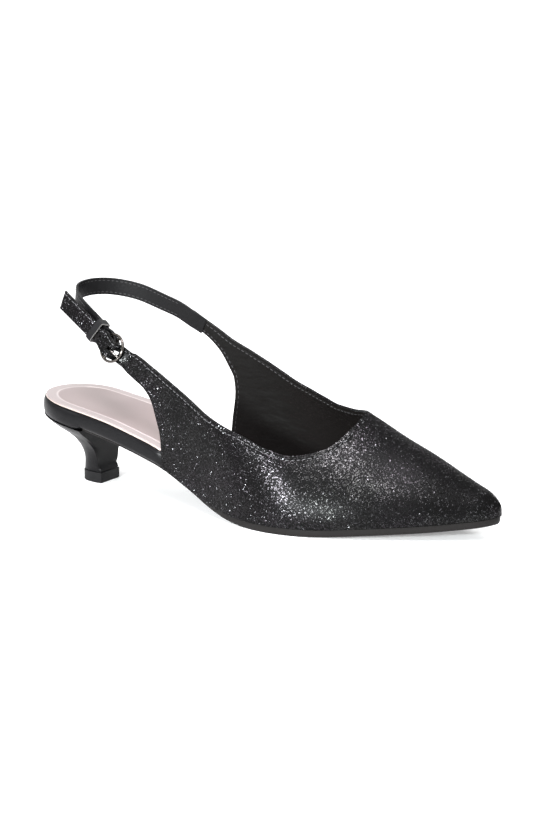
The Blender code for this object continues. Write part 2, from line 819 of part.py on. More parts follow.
def slingPath(route):
    # Run and lift of the sling strap: inside the inner quarter's strap, round the back to the bar,
    # round the bar and back on itself.
    fold = barRadius + gap + slingThickness / 2
    outLap, inLap = lapLanes()
    outLane = -ringLift() - wireRadius - ringEase - slingThickness / 2
    inLane = outLane - slingThickness - gap
    stub = route.innerRoot
    points = [(run, 0.0) for run in np.linspace(stub + stubOverlap, tailLength, 40)]
    for run in np.linspace(tailLength, foldLength, 5)[1:]:
        points.append((run, inLap * ((tailLength - run) / (tailLength - foldLength)) ** 2))
    points += [(keeperPlace * 1.15, inLap), (keeperPlace * 0.96, inLap)]
    points += [(ringRadius * part, lift) for part, lift in
               ((1.45, inLap), (1.19, inLane), (0.81, inLane), (0.43, inLane + fold * 0.77))]
    for turn in np.linspace(-100, 100, 11):
        angle = math.radians(turn)
        points.append((-fold * math.cos(angle), fold * math.sin(angle)))
    points += [(ringRadius * part, lift) for part, lift in
               ((0.43, outLane + fold * 1.25), (0.81, outLane), (1.19, outLane), (1.45, outLap))]
    points += [(keeperPlace * 0.96, outLap), (keeperPlace * 1.15, outLap), (foldLength, outLap)]
    return points


def makeSling(route, material):
    mesh = bmesh.new()
    places = slingPath(route)
    spots = [route.at(run, lift) for run, lift in places]
    path = []
    for k, (run, lift) in enumerate(places):
        along = spots[min(k + 1, len(spots) - 1)] - spots[max(k - 1, 0)]
        along /= np.linalg.norm(along)
        up = route.axes(run)[2]
        up = up - along * np.dot(up, along)
        path.append((spots[k], along, up / np.linalg.norm(up)))
    ribbon(mesh, path, strapWidth, slingThickness, 4)
    return finish(mesh, "sling_strap", material, 50)


def tube(mesh, path, radius, sides, closed):
    # A round wire along a path of points.
    rings = []
    count = len(path)
    for k in range(count):
        ahead = path[(k + 1) % count] if closed else path[min(k + 1, count - 1)]
        behind = path[(k - 1) % count] if closed else path[max(k - 1, 0)]
        along = Vector(ahead - behind).normalized()
        if k == 0:
            side = along.orthogonal().normalized()
        else:
            side = (side - along * side.dot(along)).normalized()
        up = along.cross(side)
        loop = []
        for turn in range(sides):
            angle = 2 * math.pi * turn / sides
            spoke = side * math.cos(angle) + up * math.sin(angle)
            loop.append(mesh.verts.new(Vector(path[k]) + spoke * radius))
        rings.append(loop)
    for low, high in zip(rings, rings[1:]):
        bridge(mesh, low, high)
    if closed:
        joinTurned(mesh, rings[-1], rings[0])
    else:
        mesh.faces.new(rings[0][::-1])
        mesh.faces.new(rings[-1])


def joinTurned(mesh, low, high):
    # Joins the last loop to the first, matching the nearest points.
    count = len(low)
    shift = min(range(count), key=lambda k: (low[0].co - high[k].co).length)
    for k in range(count):
        after = k + 1
        mesh.faces.new((low[k], low[after % count], high[(after + shift) % count], high[(k + shift) % count]))


def ringPoint(route, along, climb, lift=0.0):
    # A point of the buckle's own plane, tilted about its bar.
    tangent, outward, across = route.axes(0.0)
    flat = tangent * math.cos(ringTilt) - outward * math.sin(ringTilt)
    face = outward * math.cos(ringTilt) + tangent * math.sin(ringTilt)
    return route.at(0.0) + flat * along + across * climb + face * lift


def makeBuckle(route, material):
    mesh = bmesh.new()
    circle = []
    for k in range(40):
        angle = 2 * math.pi * k / 40
        circle.append(ringPoint(route, ringRadius * math.cos(angle), ringRadius * math.sin(angle)))
    tube(mesh, circle, wireRadius, 10, True)
    ringPart = finish(mesh, "buckle_ring", material, 60)
    mesh = bmesh.new()
    bar = [ringPoint(route, 0, ringRadius * part) for part in np.linspace(-1, 1, 5)]
    tube(mesh, bar, barRadius, 10, False)
    barPart = finish(mesh, "buckle_bar_guide", material, 60)
    weld = ringPart.modifiers.new("bar", "BOOLEAN")
    weld.operation = "UNION"
    weld.object = barPart
    barPart.hide_render = True
    barPart.display_type = "WIRE"
    return ringPart


def prongLift():
    # Lift of the pin over the ring's front wire, out of the ring's own plane.
    return wireRadius + prongRadius + gap / 2


def makeProng(route, material):
    # An eye round the bar and a pin that rests on the ring's front.
    mesh = bmesh.new()
    eye = barRadius + gap + prongRadius
    path = []
    for turn in np.linspace(-150, 112, 14):
        angle = math.radians(turn)
        path.append(ringPoint(route, eye * math.cos(angle), 0, eye * math.sin(angle)))
    rest = prongLift()
    for along, lift in ((-0.22, 1.86), (-0.41, 2.50), (-0.67, 2.14), (-1.0, 1.14), (-1.16, 1.0)):
        path.append(ringPoint(route, along * ringRadius, 0, lift * rest))
    tube(mesh, path, prongRadius, 8, False)
    return finish(mesh, "buckle_prong", material, 60)


def box(name, centrePoint, axes, halves):
    mesh = bmesh.new()
    bmesh.ops.create_cube(mesh, size=2)
    for vert in mesh.verts:
        part = vert.co
        vert.co = Vector(centrePoint) + sum(
            (Vector(axis) * half * value for axis, half, value in zip(axes, halves, part)), Vector())
    bmesh.ops.recalc_face_normals(mesh, faces=mesh.faces)
    data = bpy.data.meshes.new(name)
    mesh.to_mesh(data)
    mesh.free()
    cutter = bpy.data.objects.new(name, data)
    bpy.context.scene.collection.objects.link(cutter)
    cutter.hide_render = True
    cutter.display_type = "WIRE"
    return cutter


def cut(part, cutter):
    slot = part.modifiers.new(cutter.name, "BOOLEAN")
    slot.operation = "DIFFERENCE"
    slot.object = cutter


def makeKeeper(route, material):
    # A flat loop round both straps.
    tangent, outward, across = route.axes(keeperPlace)
    run, lift, drop = tailWay()
    skin = float(smooth(run, lift, keeperPlace)) + wall / 2
    strap = strapPoint(route, keeperPlace, skin, -float(smooth(run, drop, keeperPlace))) - route.at(keeperPlace)
    above = float(strap @ outward) + gap + keeperThickness / 2
    below = lapLanes()[1] - slingThickness / 2 - gap - keeperThickness / 2 - slotEase / 2
    sag = -float(strap @ across) / 2
    middle = route.at(keeperPlace, (above + below) / 2, -sag)
    halfOut = (above - below) / 2
    halfUp = strapWidth / 2 + sag + gap + keeperThickness / 2
    mesh = bmesh.new()
    loops = []
    for grow in (-keeperThickness / 2, keeperThickness / 2):
        pair = []
        for end in (-0.5, 0.5):
            loop = []
            for number, (signOut, signUp) in enumerate(((1, 1), (-1, 1), (-1, -1), (1, -1))):
                for k in range(4):
                    angle = math.pi / 2 * (number + k / 3)
                    radius = keeperRound + grow
                    out = signOut * (halfOut - keeperRound) + radius * math.cos(angle)
                    up = signUp * (halfUp - keeperRound) + radius * math.sin(angle)
                    point = middle + outward * out + across * up + tangent * keeperWidth * end
                    loop.append(mesh.verts.new(point))
            pair.append(loop)
        loops.append(pair)
    (innerLow, innerHigh), (outerLow, outerHigh) = loops
    bridge(mesh, innerLow, innerHigh)
    bridge(mesh, outerLow, outerHigh)
    bridge(mesh, innerLow, outerLow)
    bridge(mesh, innerHigh, outerHigh)
    return finish(mesh, "keeper", material, 40)


def cutSlots(route, upper, sling):
    # The prong's slot through the upper's strap and its slot through the sling strap's fold.
    axes = route.axes(0.0)
    half = prongRadius + slotEase
    reach = barRadius + slingThickness + wall
    middle = route.at(-ringRadius * 0.32, reach * 0.85)
    cut(upper, box("prong_slot", middle, axes, (ringRadius * 0.35, reach * 0.91, half)))
    fold = barRadius + gap + slingThickness
    middle = route.at(-gap / 2, 0.0)
    cut(sling, box("fold_slot", middle, axes, (fold * 1.33, fold * 1.24, half - slotEase / 4)))


def clearScene():
    for item in list(bpy.data.objects):
        bpy.data.objects.remove(item, do_unlink=True)


def build():
    clearScene()
    shimmer = makeMaterial("upper_leather", (0.018, 0.018, 0.020), 0.42, 0.0)
    wrap = makeMaterial("footbed_wrap", (0.016, 0.016, 0.018), 0.45, 0.0)
    silver = makeMaterial("sock_foil", (0.62, 0.55, 0.55), 0.32, 0.6)
    rubber = makeMaterial("outsole_rubber", (0.020, 0.018, 0.017), 0.6, 0.0)
    heelWrap = makeMaterial("heel_wrap", (0.016, 0.016, 0.018), 0.42, 0.0)
    lift = makeMaterial("top_piece_rubber", (0.012, 0.012, 0.012), 0.55, 0.0)
    strap = makeMaterial("strap_leather", (0.017, 0.017, 0.019), 0.45, 0.0)
    keeperSkin = makeMaterial("keeper_leather", (0.017, 0.017, 0.019), 0.45, 0.0)
    metal = makeMaterial("buckle_metal", (0.20, 0.19, 0.18), 0.28, 1.0)
    pin = makeMaterial("prong_metal", (0.22, 0.21, 0.20), 0.28, 1.0)
    route = Route()
    makeOutsole(rubber)
    makeFootbed(wrap)
    makeSock(silver)
    makeHeel(heelWrap)
    makeTopPiece(lift)
    upper = makeUpper(route, shimmer)
    sling = makeSling(route, strap)
    makeBuckle(route, metal)
    makeProng(route, pin)
    makeKeeper(route, keeperSkin)
    cutSlots(route, upper, sling)


build()
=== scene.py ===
# Looks of a slingback pump with a pointed toe and a low flared heel: right shoe, metres,
# +X to the toe, +Y to the inner side of the foot, +Z up.
import math
import bmesh
import bpy
import numpy as np
from mathutils import Matrix, Vector


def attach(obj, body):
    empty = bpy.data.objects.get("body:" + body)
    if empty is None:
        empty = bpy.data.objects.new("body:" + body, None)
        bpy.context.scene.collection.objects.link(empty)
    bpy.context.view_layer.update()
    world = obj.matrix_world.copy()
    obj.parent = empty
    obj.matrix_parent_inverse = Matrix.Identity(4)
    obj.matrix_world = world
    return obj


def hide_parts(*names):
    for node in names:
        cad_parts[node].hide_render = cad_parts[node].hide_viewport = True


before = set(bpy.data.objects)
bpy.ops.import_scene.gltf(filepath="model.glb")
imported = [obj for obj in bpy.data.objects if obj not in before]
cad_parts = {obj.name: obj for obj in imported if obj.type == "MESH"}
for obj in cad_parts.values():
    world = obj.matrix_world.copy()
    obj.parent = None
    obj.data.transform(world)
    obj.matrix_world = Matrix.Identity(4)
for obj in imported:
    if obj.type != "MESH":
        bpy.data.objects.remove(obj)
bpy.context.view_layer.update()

# Sizes of the shoe, the same as its solids have
shoeLength = 0.259
ballWidth = 0.074
seatHeight = 0.0362
toeSpring = 0.0084
instepRise = 0.0508
heelCentre = 0.0292
toeLean = 0.006
rimDepth = 0.009
seatReach = 0.026
noseReach = 0.0092
shankSole = 0.0018
forefootSole = 0.0036
sockThickness = 0.0009
sockInset = 0.0016
wall = 0.0015
gap = 0.0003
slingHeight = 0.0997
strapWidth = 0.0086
slingThickness = 0.0011
tailLength = 0.0386
tailLift = 0.0008
tailDrop = 0.0041
tipCut = 0.0040
strapLift = 0.0004
ringRadius = 0.0069
wireRadius = 0.00075
barRadius = 0.0007
ringTilt = math.radians(10)
ringEase = 0.0006
slotEase = 0.0004
keeperPlace = 0.0130
straightPlace = 0.0095
outer = -1
inner = 1

# Outline and height of the footbed. outer and inner are half widths and shares of the ball width,
# lean is a share of the toe's lean, drop a share of the seat height, spring a share of the toe
# spring, and pad the depth from the footbed's top to the sole's underside, a share of the rim's.
bedColumns = ("share", "outer", "inner", "lean", "drop", "spring", "pad")
bedRows = (
    (0.00, 0.334, 0.334, 0.00, 1.000, 0.00, 0.98),
    (0.05, 0.340, 0.346, 0.00, 0.957, 0.00, 1.00),
    (0.12, 0.349, 0.352, 0.00, 0.878, 0.00, 1.01),
    (0.20, 0.359, 0.350, 0.00, 0.775, 0.00, 1.03),
    (0.27, 0.361, 0.344, 0.00, 0.642, 0.00, 1.03),
    (0.33, 0.369, 0.338, 0.00, 0.512, 0.00, 1.03),
    (0.40, 0.408, 0.338, 0.00, 0.312, 0.00, 0.99),
    (0.47, 0.470, 0.352, 0.00, 0.118, 0.00, 0.94),
    (0.54, 0.534, 0.388, 0.00, 0.015, 0.00, 0.80),
    (0.60, 0.565, 0.421, 0.00, 0.000, 0.00, 0.68),
    (0.67, 0.540, 0.438, 0.02, 0.000, 0.00, 0.62),
    (0.72, 0.492, 0.422, 0.08, 0.000, 0.08, 0.58),
    (0.78, 0.419, 0.376, 0.20, 0.000, 0.24, 0.58),
    (0.84, 0.332, 0.316, 0.36, 0.000, 0.40, 0.58),
    (0.90, 0.235, 0.240, 0.54, 0.000, 0.57, 0.58),
    (0.95, 0.150, 0.168, 0.74, 0.000, 0.76, 0.58),
    (1.00, 0.088, 0.101, 1.00, 0.000, 1.00, 0.58),
)

# Girth of the last above the feather line. rise is a share of the instep's rise, lift and bulge
# steer the side, outerSpread and innerSpread the breadth of the crest.
lastColumns = ("share", "rise", "lift", "bulge", "outerSpread", "innerSpread")
lastRows = (
    (0.20, 1.910, 0.40, 0.03, 1.30, 1.40),
    (0.27, 1.920, 0.40, 0.03, 1.30, 1.40),
    (0.34, 1.876, 0.40, 0.04, 1.20, 1.35),
    (0.42, 1.810, 0.42, 0.05, 1.10, 1.28),
    (0.50, 1.610, 0.42, 0.05, 1.00, 1.10),
    (0.585, 1.378, 0.42, 0.04, 0.55, 0.52),
    (0.63, 1.232, 0.42, 0.03, 0.42, 0.33),
    (0.69, 1.090, 0.40, 0.03, 0.16, 0.20),
    (0.73, 1.000, 0.40, 0.03, 0.14, 0.15),
    (0.81, 0.766, 0.40, 0.03, 0.20, 0.20),
    (0.87, 0.596, 0.42, 0.04, 0.28, 0.28),
    (0.924, 0.423, 0.45, 0.05, 0.34, 0.34),
    (0.96, 0.301, 0.50, 0.05, 0.40, 0.40),
    (0.981, 0.222, 0.52, 0.05, 0.45, 0.45),
    (1.00, 0.112, 0.55, 0.05, 0.50, 0.50),
)

# Edges of the upper on each side, from the strap's root to the toe. place walks along the shoe,
# top is the topline and then the ridge, low the rear edge and then the feather line. Rises are
# shares of the instep's rise above the feather line. The rows end at the throat.
edgeColumns = ("place", "topShare", "topRise", "lowShare", "lowRise")
outerEdgeRows = (
    (0.00, 0.280, 1.005, 0.265, 0.785),
    (0.05, 0.298, 0.988, 0.285, 0.747),
    (0.12, 0.323, 0.955, 0.302, 0.714),
    (0.18, 0.361, 0.923, 0.320, 0.632),
    (0.24, 0.395, 0.906, 0.333, 0.467),
    (0.30, 0.431, 0.885, 0.342, 0.305),
    (0.36, 0.466, 0.858, 0.345, 0.000),
    (0.46, 0.532, 0.807, 0.432, 0.000),
    (0.55, 0.592, 0.705, 0.507, 0.000),
    (0.63, 0.644, 0.648, 0.572, 0.000),
    (0.69, 0.691, 0.699, 0.617, 0.000),
    (0.73, 0.708, 0.762, 0.642, 0.000),
    (0.77, 0.723, 0.866, 0.667, 0.000),
    (0.80, 0.7345, 1.000, 0.691, 0.000),
)
innerEdgeRows = (
    (0.00, 0.278, 1.265, 0.272, 1.114),
    (0.06, 0.307, 1.234, 0.307, 1.081),
    (0.12, 0.342, 1.208, 0.342, 1.000),
    (0.17, 0.376, 1.187, 0.362, 0.894),
    (0.21, 0.404, 1.187, 0.375, 0.797),
    (0.26, 0.448, 1.175, 0.378, 0.652),
    (0.32, 0.487, 1.134, 0.372, 0.346),
    (0.37, 0.514, 1.100, 0.368, 0.000),
    (0.47, 0.562, 1.051, 0.442, 0.000),
    (0.56, 0.602, 1.010, 0.517, 0.000),
    (0.64, 0.641, 0.970, 0.577, 0.000),
    (0.72, 0.681, 0.970, 0.626, 0.000),
    (0.77, 0.713, 0.983, 0.663, 0.000),
    (0.80, 0.7345, 1.000, 0.691, 0.000),
)

# The strap's way round the back of the ankle, from the outer quarter's strap to the inner one's.
# share runs from the seat's back, side is a share of the ball width, height goes from 0 at the
# quarter of that side to 1 at the sling's height, and tilt leans the strap's top in, in radians.
slingColumns = ("share", "side", "height", "tilt")
slingRows = (
    (0.255, -0.390, 0.115, 0.20),
    (0.234, -0.393, 0.231, 0.28),
    (0.194, -0.368, 0.506, 0.30),
    (0.157, -0.318, 0.708, 0.25),
    (0.120, -0.236, 0.863, 0.15),
    (0.093, -0.122, 0.955, 0.08),
    (0.084, 0.000, 0.990, 0.05),
    (0.093, 0.118, 1.000, 0.05),
    (0.120, 0.218, 0.939, 0.05),
    (0.162, 0.288, 0.763, 0.05),
    (0.209, 0.322, 0.460, 0.06),
    (0.246, 0.330, 0.243, 0.08),
)
barRow = 3

# The strap's free end past the buckle: part runs from the ring's rear to the tip, lift and drop are
# shares of how far the tip stands off the sling strap and hangs below its middle.
tailColumns = ("part", "lift", "drop")
tailRows = (
    (0.07, 0.000, 0.21),
    (0.18, 0.000, 0.36),
    (0.34, 0.060, 0.48),
    (0.60, 0.300, 0.69),
    (0.83, 0.650, 0.87),
    (1.00, 1.000, 1.00),
)


def column(columns, rows, name):
    return np.array([row[columns.index(name)] for row in rows], dtype=float)


def eased(t):
    return t * t * (3 - 2 * t)


def smooth(x, y, at):
    # Monotone cubic through the rows: no overshoot between two sections.
    at = np.clip(np.asarray(at, dtype=float), x[0], x[-1])
    step = np.diff(x)
    slope = np.diff(y) / step
    tangent = np.zeros(len(x))
    tangent[0], tangent[-1] = slope[0], slope[-1]
    for k in range(1, len(x) - 1):
        if slope[k - 1] * slope[k] > 0:
            before, after = step[k - 1] + 2 * step[k], 2 * step[k - 1] + step[k]
            tangent[k] = (before + after) / (before / slope[k] + after / slope[k - 1])
    cell = np.clip(np.searchsorted(x, at, side="right") - 1, 0, len(step) - 1)
    t = (at - x[cell]) / step[cell]
    rise = (1 + 2 * t) * (1 - t) ** 2 * y[cell] + t * t * (3 - 2 * t) * y[cell + 1]
    bend = t * (1 - t) ** 2 * tangent[cell] - t * t * (1 - t) * tangent[cell + 1]
    return rise + step[cell] * bend


def spline(x, y, at):
    # Natural cubic through the rows, for the shoe's long fair lines.
    at = np.clip(np.asarray(at, dtype=float), x[0], x[-1])
    step = np.diff(x)
    count = len(x)
    system = np.eye(count)
    load = np.zeros(count)
    for k in range(1, count - 1):
        system[k, k - 1:k + 2] = (step[k - 1], 2 * (step[k - 1] + step[k]), step[k])
        load[k] = 6 * ((y[k + 1] - y[k]) / step[k] - (y[k] - y[k - 1]) / step[k - 1])
    bend = np.linalg.solve(system, load)
    cell = np.clip(np.searchsorted(x, at, side="right") - 1, 0, len(step) - 1)
    ahead = (at - x[cell]) / step[cell]
    behind = 1 - ahead
    return (behind * y[cell] + ahead * y[cell + 1]
            + ((behind ** 3 - behind) * bend[cell] + (ahead ** 3 - ahead) * bend[cell + 1])
            * step[cell] ** 2 / 6)


def bed(name, share):
    through = smooth if name in ("drop", "spring") else spline
    return through(column(bedColumns, bedRows, "share"), column(bedColumns, bedRows, name), share)


def last(name, share):
    return spline(column(lastColumns, lastRows, "share"), column(lastColumns, lastRows, name), share)


def forward(share):
    return np.asarray(share) * shoeLength - heelCentre


def centre(share):
    return bed("lean", share) * toeLean


def roundedEnds(share):
    back = np.clip(np.asarray(share) * shoeLength / seatReach, 0, 1)
    nose = np.clip((1 - np.asarray(share)) * shoeLength / noseReach, 0, 1)
    return np.sqrt(1 - (1 - back) ** 2) * np.sqrt(1 - (1 - nose) ** 2)


def halfWidth(share, side):
    name = "outer" if side == outer else "inner"
    return bed(name, share) * ballWidth * roundedEnds(share)


def soleUnder(share):
    return bed("drop", share) * seatHeight + bed("spring", share) * toeSpring


def soleThickness(share):
    blend = np.clip((np.asarray(share) - 0.38) / 0.2, 0, 1)
    return shankSole + (forefootSole - shankSole) * eased(blend)


def feather(share):
    return soleUnder(share) + soleThickness(share) + gap


def bedTop(share):
    return soleUnder(share) + bed("pad", share) * rimDepth


def outlineSide(shares, side, inset):
    # Plan points along one side, moved in from the edge along its normal.
    reach = 0.0002
    ahead = np.clip(shares + reach, 0, 1)
    behind = np.clip(shares - reach, 0, 1)
    dx = forward(ahead) - forward(behind)
    dy = centre(ahead) - centre(behind) + side * (halfWidth(ahead, side) - halfWidth(behind, side))
    size = np.hypot(dx, dy)
    x = forward(shares) + side * dy / size * inset
    y = centre(shares) + side * halfWidth(shares, side) - side * dx / size * inset
    x = np.where(shares <= 0, forward(0) + inset, np.where(shares >= 1, forward(1) - inset, x))
    y = np.where((shares <= 0) | (shares >= 1), centre(shares), y)
    return x, y


def lastPoint(share, rib, side):
    # A point of the last's skin: rib is 0 at the feather line and 1 on the ridge.
    wide = halfWidth(share, side)
    low = feather(share)
    rise = last("rise", share) * instepRise
    spread = last("outerSpread" if side == outer else "innerSpread", share)
    a, b, c, d = (1 - rib) ** 3, 3 * rib * (1 - rib) ** 2, 3 * rib ** 2 * (1 - rib), rib ** 3
    across = a * wide + b * wide * (1 + last("bulge", share)) + c * wide * spread
    height = low + rise * (b * last("lift", share) + c + d)
    return np.stack([forward(share), centre(share) + side * across, height], axis=-1)


def ribAt(share, rise):
    # The rib share at which the skin has a wanted rise above the feather line.
    wanted = rise * instepRise
    full = last("rise", share) * instepRise
    lift = last("lift", share)
    low, high = np.zeros_like(wanted), np.ones_like(wanted)
    for _ in range(40):
        middle = (low + high) / 2
        reached = full * (3 * middle * (1 - middle) ** 2 * lift
                          + 3 * middle ** 2 * (1 - middle) + middle ** 3)
        low = np.where(reached < wanted, middle, low)
        high = np.where(reached < wanted, high, middle)
    return (low + high) / 2


def strapRoot(rows, side, place):
    # Middle of the quarter's strap on the skin, at a place along the shoe, and its lean.
    at = column(edgeColumns, rows, "place")
    low = [smooth(at, column(edgeColumns, rows, name), [place]) for name in ("lowShare", "lowRise")]
    top = [smooth(at, column(edgeColumns, rows, name), [place]) for name in ("topShare", "topRise")]
    share = (low[0] + top[0]) / 2
    edges = [ribAt(share, level[1]) for level in (low, top)]
    lower, middle, upper = (lastPoint(share, rib, side)[0] for rib in (edges[0], sum(edges) / 2, edges[1]))
    return middle, math.atan2(side * (lower[1] - upper[1]), upper[2] - lower[2])


def slingGuide():
    # Points and leans of the strap's middle, with two in each quarter's strap at its ends.
    inside = {outer: wall / 2, inner: wall + gap + slingThickness / 2}
    ends = {}
    for side, rows in ((outer, outerEdgeRows), (inner, innerEdgeRows)):
        ends[side] = []
        for place in (0.06, 0.0):
            point, lean = strapRoot(rows, side, place)
            point[1] -= side * inside[side]
            ends[side].append((*point, lean))
    guide = list(ends[outer])
    for values in slingRows:
        row = dict(zip(slingColumns, values))
        root = ends[outer if row["side"] <= 0 else inner][1][2]
        height = root + row["height"] * (slingHeight - root)
        guide.append((float(forward(row["share"])), row["side"] * ballWidth, height, row["tilt"]))
    return np.array(guide + ends[inner][::-1])


def slingFrame():
    # Centre line of the strap: points, run along it from the bar, tangents, outward normals.
    rows = slingGuide()
    fine = np.linspace(0, len(rows) - 1, 601)
    line = np.stack([catmull(rows[:, k], fine) for k in range(3)], axis=1)
    tilt = catmull(rows[:, 3], fine)[:, None]
    step = np.linalg.norm(np.diff(line, axis=0), axis=1)
    run = np.concatenate([[0], np.cumsum(step)])
    run -= np.interp(barRow, fine, run)
    tangent = np.gradient(line, run, axis=0)
    tangent /= np.linalg.norm(tangent, axis=1)[:, None]
    outward = -np.cross(tangent, [0, 0, 1.0])
    outward /= np.linalg.norm(outward, axis=1)[:, None]
    across = np.cross(outward, tangent)
    across *= np.sign(across[:, 2])[:, None]
    leaned = outward * np.cos(tilt) + across * np.sin(tilt)
    across = across * np.cos(tilt) - outward * np.sin(tilt)
    return run, line, tangent, leaned, across


def catmull(values, at):
    # Catmull-Rom curve through evenly numbered rows.
    cell = np.clip(np.floor(at).astype(int), 0, len(values) - 2)
    t = at - cell
    before = values[np.clip(cell - 1, 0, len(values) - 1)]
    start, end = values[cell], values[cell + 1]
    after = values[np.clip(cell + 2, 0, len(values) - 1)]
    return 0.5 * (2 * start + (end - before) * t + (2 * before - 5 * start + 4 * end - after) * t ** 2
                  + (3 * start - before - 3 * end + after) * t ** 3)


def valueAt(at, run, table):
    # A point or direction of a line at a place along it.
    return np.array([np.interp(at, run, table[:, k]) for k in range(3)])


class Route:
    def __init__(self):
        self.run, self.line, self.tangent, self.outward, self.across = slingFrame()

    def at(self, run, lift=0.0, climb=0.0):
        # A point beside the strap's centre line, moved outward and up its width.
        sideways = valueAt(run, self.run, self.outward) * lift
        return valueAt(run, self.run, self.line) + sideways + valueAt(run, self.run, self.across) * climb

    def axes(self, run):
        return tuple(valueAt(run, self.run, table) for table in (self.tangent, self.outward, self.across))


def ringLift():
    # How far the tilted ring's front rim stands out of the strap's line, and its rear rim in.
    return ringRadius * math.sin(ringTilt)


def tailWay():
    # Run, lift and drop of the upper's strap: under the ring's front, over the bar, over the rear.
    under = ringLift() - wireRadius - ringEase - wall / 2
    crown = barRadius + slingThickness + wall / 2 + 2 * gap + slotEase / 2
    rear = wireRadius - ringLift() + ringEase + wall / 2
    through = ((-1.45, under / 2), (-1.0, under), (-0.76, under), (-0.64, under * 0.93),
               (-0.51, crown * 0.27), (-0.27, crown * 0.91), (0.0, crown), (0.38, crown * 0.79),
               (1.0, rear))
    way = [(part * ringRadius, lift, 0.0) for part, lift in through]
    start = 1.08 * ringRadius
    for values in tailRows:
        row = dict(zip(tailColumns, values))
        place = start + row["part"] * (tailLength - start)
        way.append((place, strapLift + row["lift"] * tailLift, row["drop"] * tailDrop))
    return np.array(way).T


def strapPoint(route, run, lift, climb):
    # A point of the upper's loose strap: past its bend behind the ring it runs straight on.
    if run <= straightPlace:
        return route.at(run, lift, climb)
    tangent, outward, across = route.axes(straightPlace)
    return route.at(straightPlace) + tangent * (run - straightPlace) + outward * lift + across * climb


# Materials. Every pattern reads Object coordinates, so its grain keeps the shoe's own scale.
def newMaterial(name, colour, roughness, metallic=0.0):
    material = bpy.data.materials.new(name)
    material.use_nodes = True
    tree = material.node_tree
    shader = tree.nodes["Principled BSDF"]
    shader.inputs["Base Color"].default_value = (*colour, 1)
    shader.inputs["Roughness"].default_value = roughness
    shader.inputs["Metallic"].default_value = metallic
    material.diffuse_color = (*colour, 1)
    return material, tree, shader


def addNode(tree, kind, values=None, **settings):
    node = tree.nodes.new(kind)
    for key, value in settings.items():
        setattr(node, key, value)
    for key, value in (values or {}).items():
        node.inputs[key].default_value = value
    return node


def objectPoint(tree, stretch=(1, 1, 1)):
    place = addNode(tree, "ShaderNodeTexCoord")
    scaled = addNode(tree, "ShaderNodeMapping", {"Scale": stretch})
    tree.links.new(place.outputs["Object"], scaled.inputs["Vector"])
    return scaled.outputs["Vector"]


def noise(tree, point, scale, detail=3.0, roughness=0.55):
    node = addNode(tree, "ShaderNodeTexNoise", {"Scale": scale, "Detail": detail, "Roughness": roughness})
    tree.links.new(point, node.inputs["Vector"])
    return node.outputs["Fac"]


def cells(tree, point, scale, output="Distance", feature="F1"):
    node = addNode(tree, "ShaderNodeTexVoronoi", {"Scale": scale}, feature=feature)
    tree.links.new(point, node.inputs["Vector"])
    return node.outputs[output]


def cellColours(tree, point, scale):
    # A colour for each cell, and its three parts.
    colour = cells(tree, point, scale, "Color")
    parts = addNode(tree, "ShaderNodeSeparateColor")
    tree.links.new(colour, parts.inputs[0])
    return colour, parts.outputs


def spread(tree, value, low, high, toLow, toHigh):
    ends = {"From Min": low, "From Max": high, "To Min": toLow, "To Max": toHigh}
    node = addNode(tree, "ShaderNodeMapRange", ends)
    tree.links.new(value, node.inputs["Value"])
    return node.outputs["Result"]


def calc(tree, operation, first, second=None):
    node = addNode(tree, "ShaderNodeMath", operation=operation)
    for socket, value in zip(node.inputs, (first, second)):
        if isinstance(value, (int, float)):
            socket.default_value = value
        elif value is not None:
            tree.links.new(value, socket)
    return node.outputs[0]


def bump(tree, height, depth, strength=1.0, under=None):
    node = addNode(tree, "ShaderNodeBump", {"Distance": depth, "Strength": strength})
    tree.links.new(height, node.inputs["Height"])
    if under is not None:
        tree.links.new(under, node.inputs["Normal"])
    return node.outputs["Normal"]


def mixColour(tree, amount, first, second):
    node = addNode(tree, "ShaderNodeMix", data_type="RGBA")
    tree.links.new(amount, node.inputs[0])
    for socket, value in ((node.inputs[6], first), (node.inputs[7], second)):
        if isinstance(value, tuple):
            socket.default_value = (*value, 1)
        else:
            tree.links.new(value, socket)
    return node.outputs[2]


foilLook = {"base": (0.0026, 0.0026, 0.0026), "foil": (0.0180, 0.0181, 0.0178),
            "lilac": (0.0190, 0.0176, 0.0192), "spark": (0.048, 0.048, 0.050),
            "baseRoughness": 0.34, "foilRoughness": 0.17, "flakes": 2300.0, "tilt": 0.22,
            "wildTilt": 1.5, "wildScale": 0.61, "share": 0.60, "specular": 0.040}


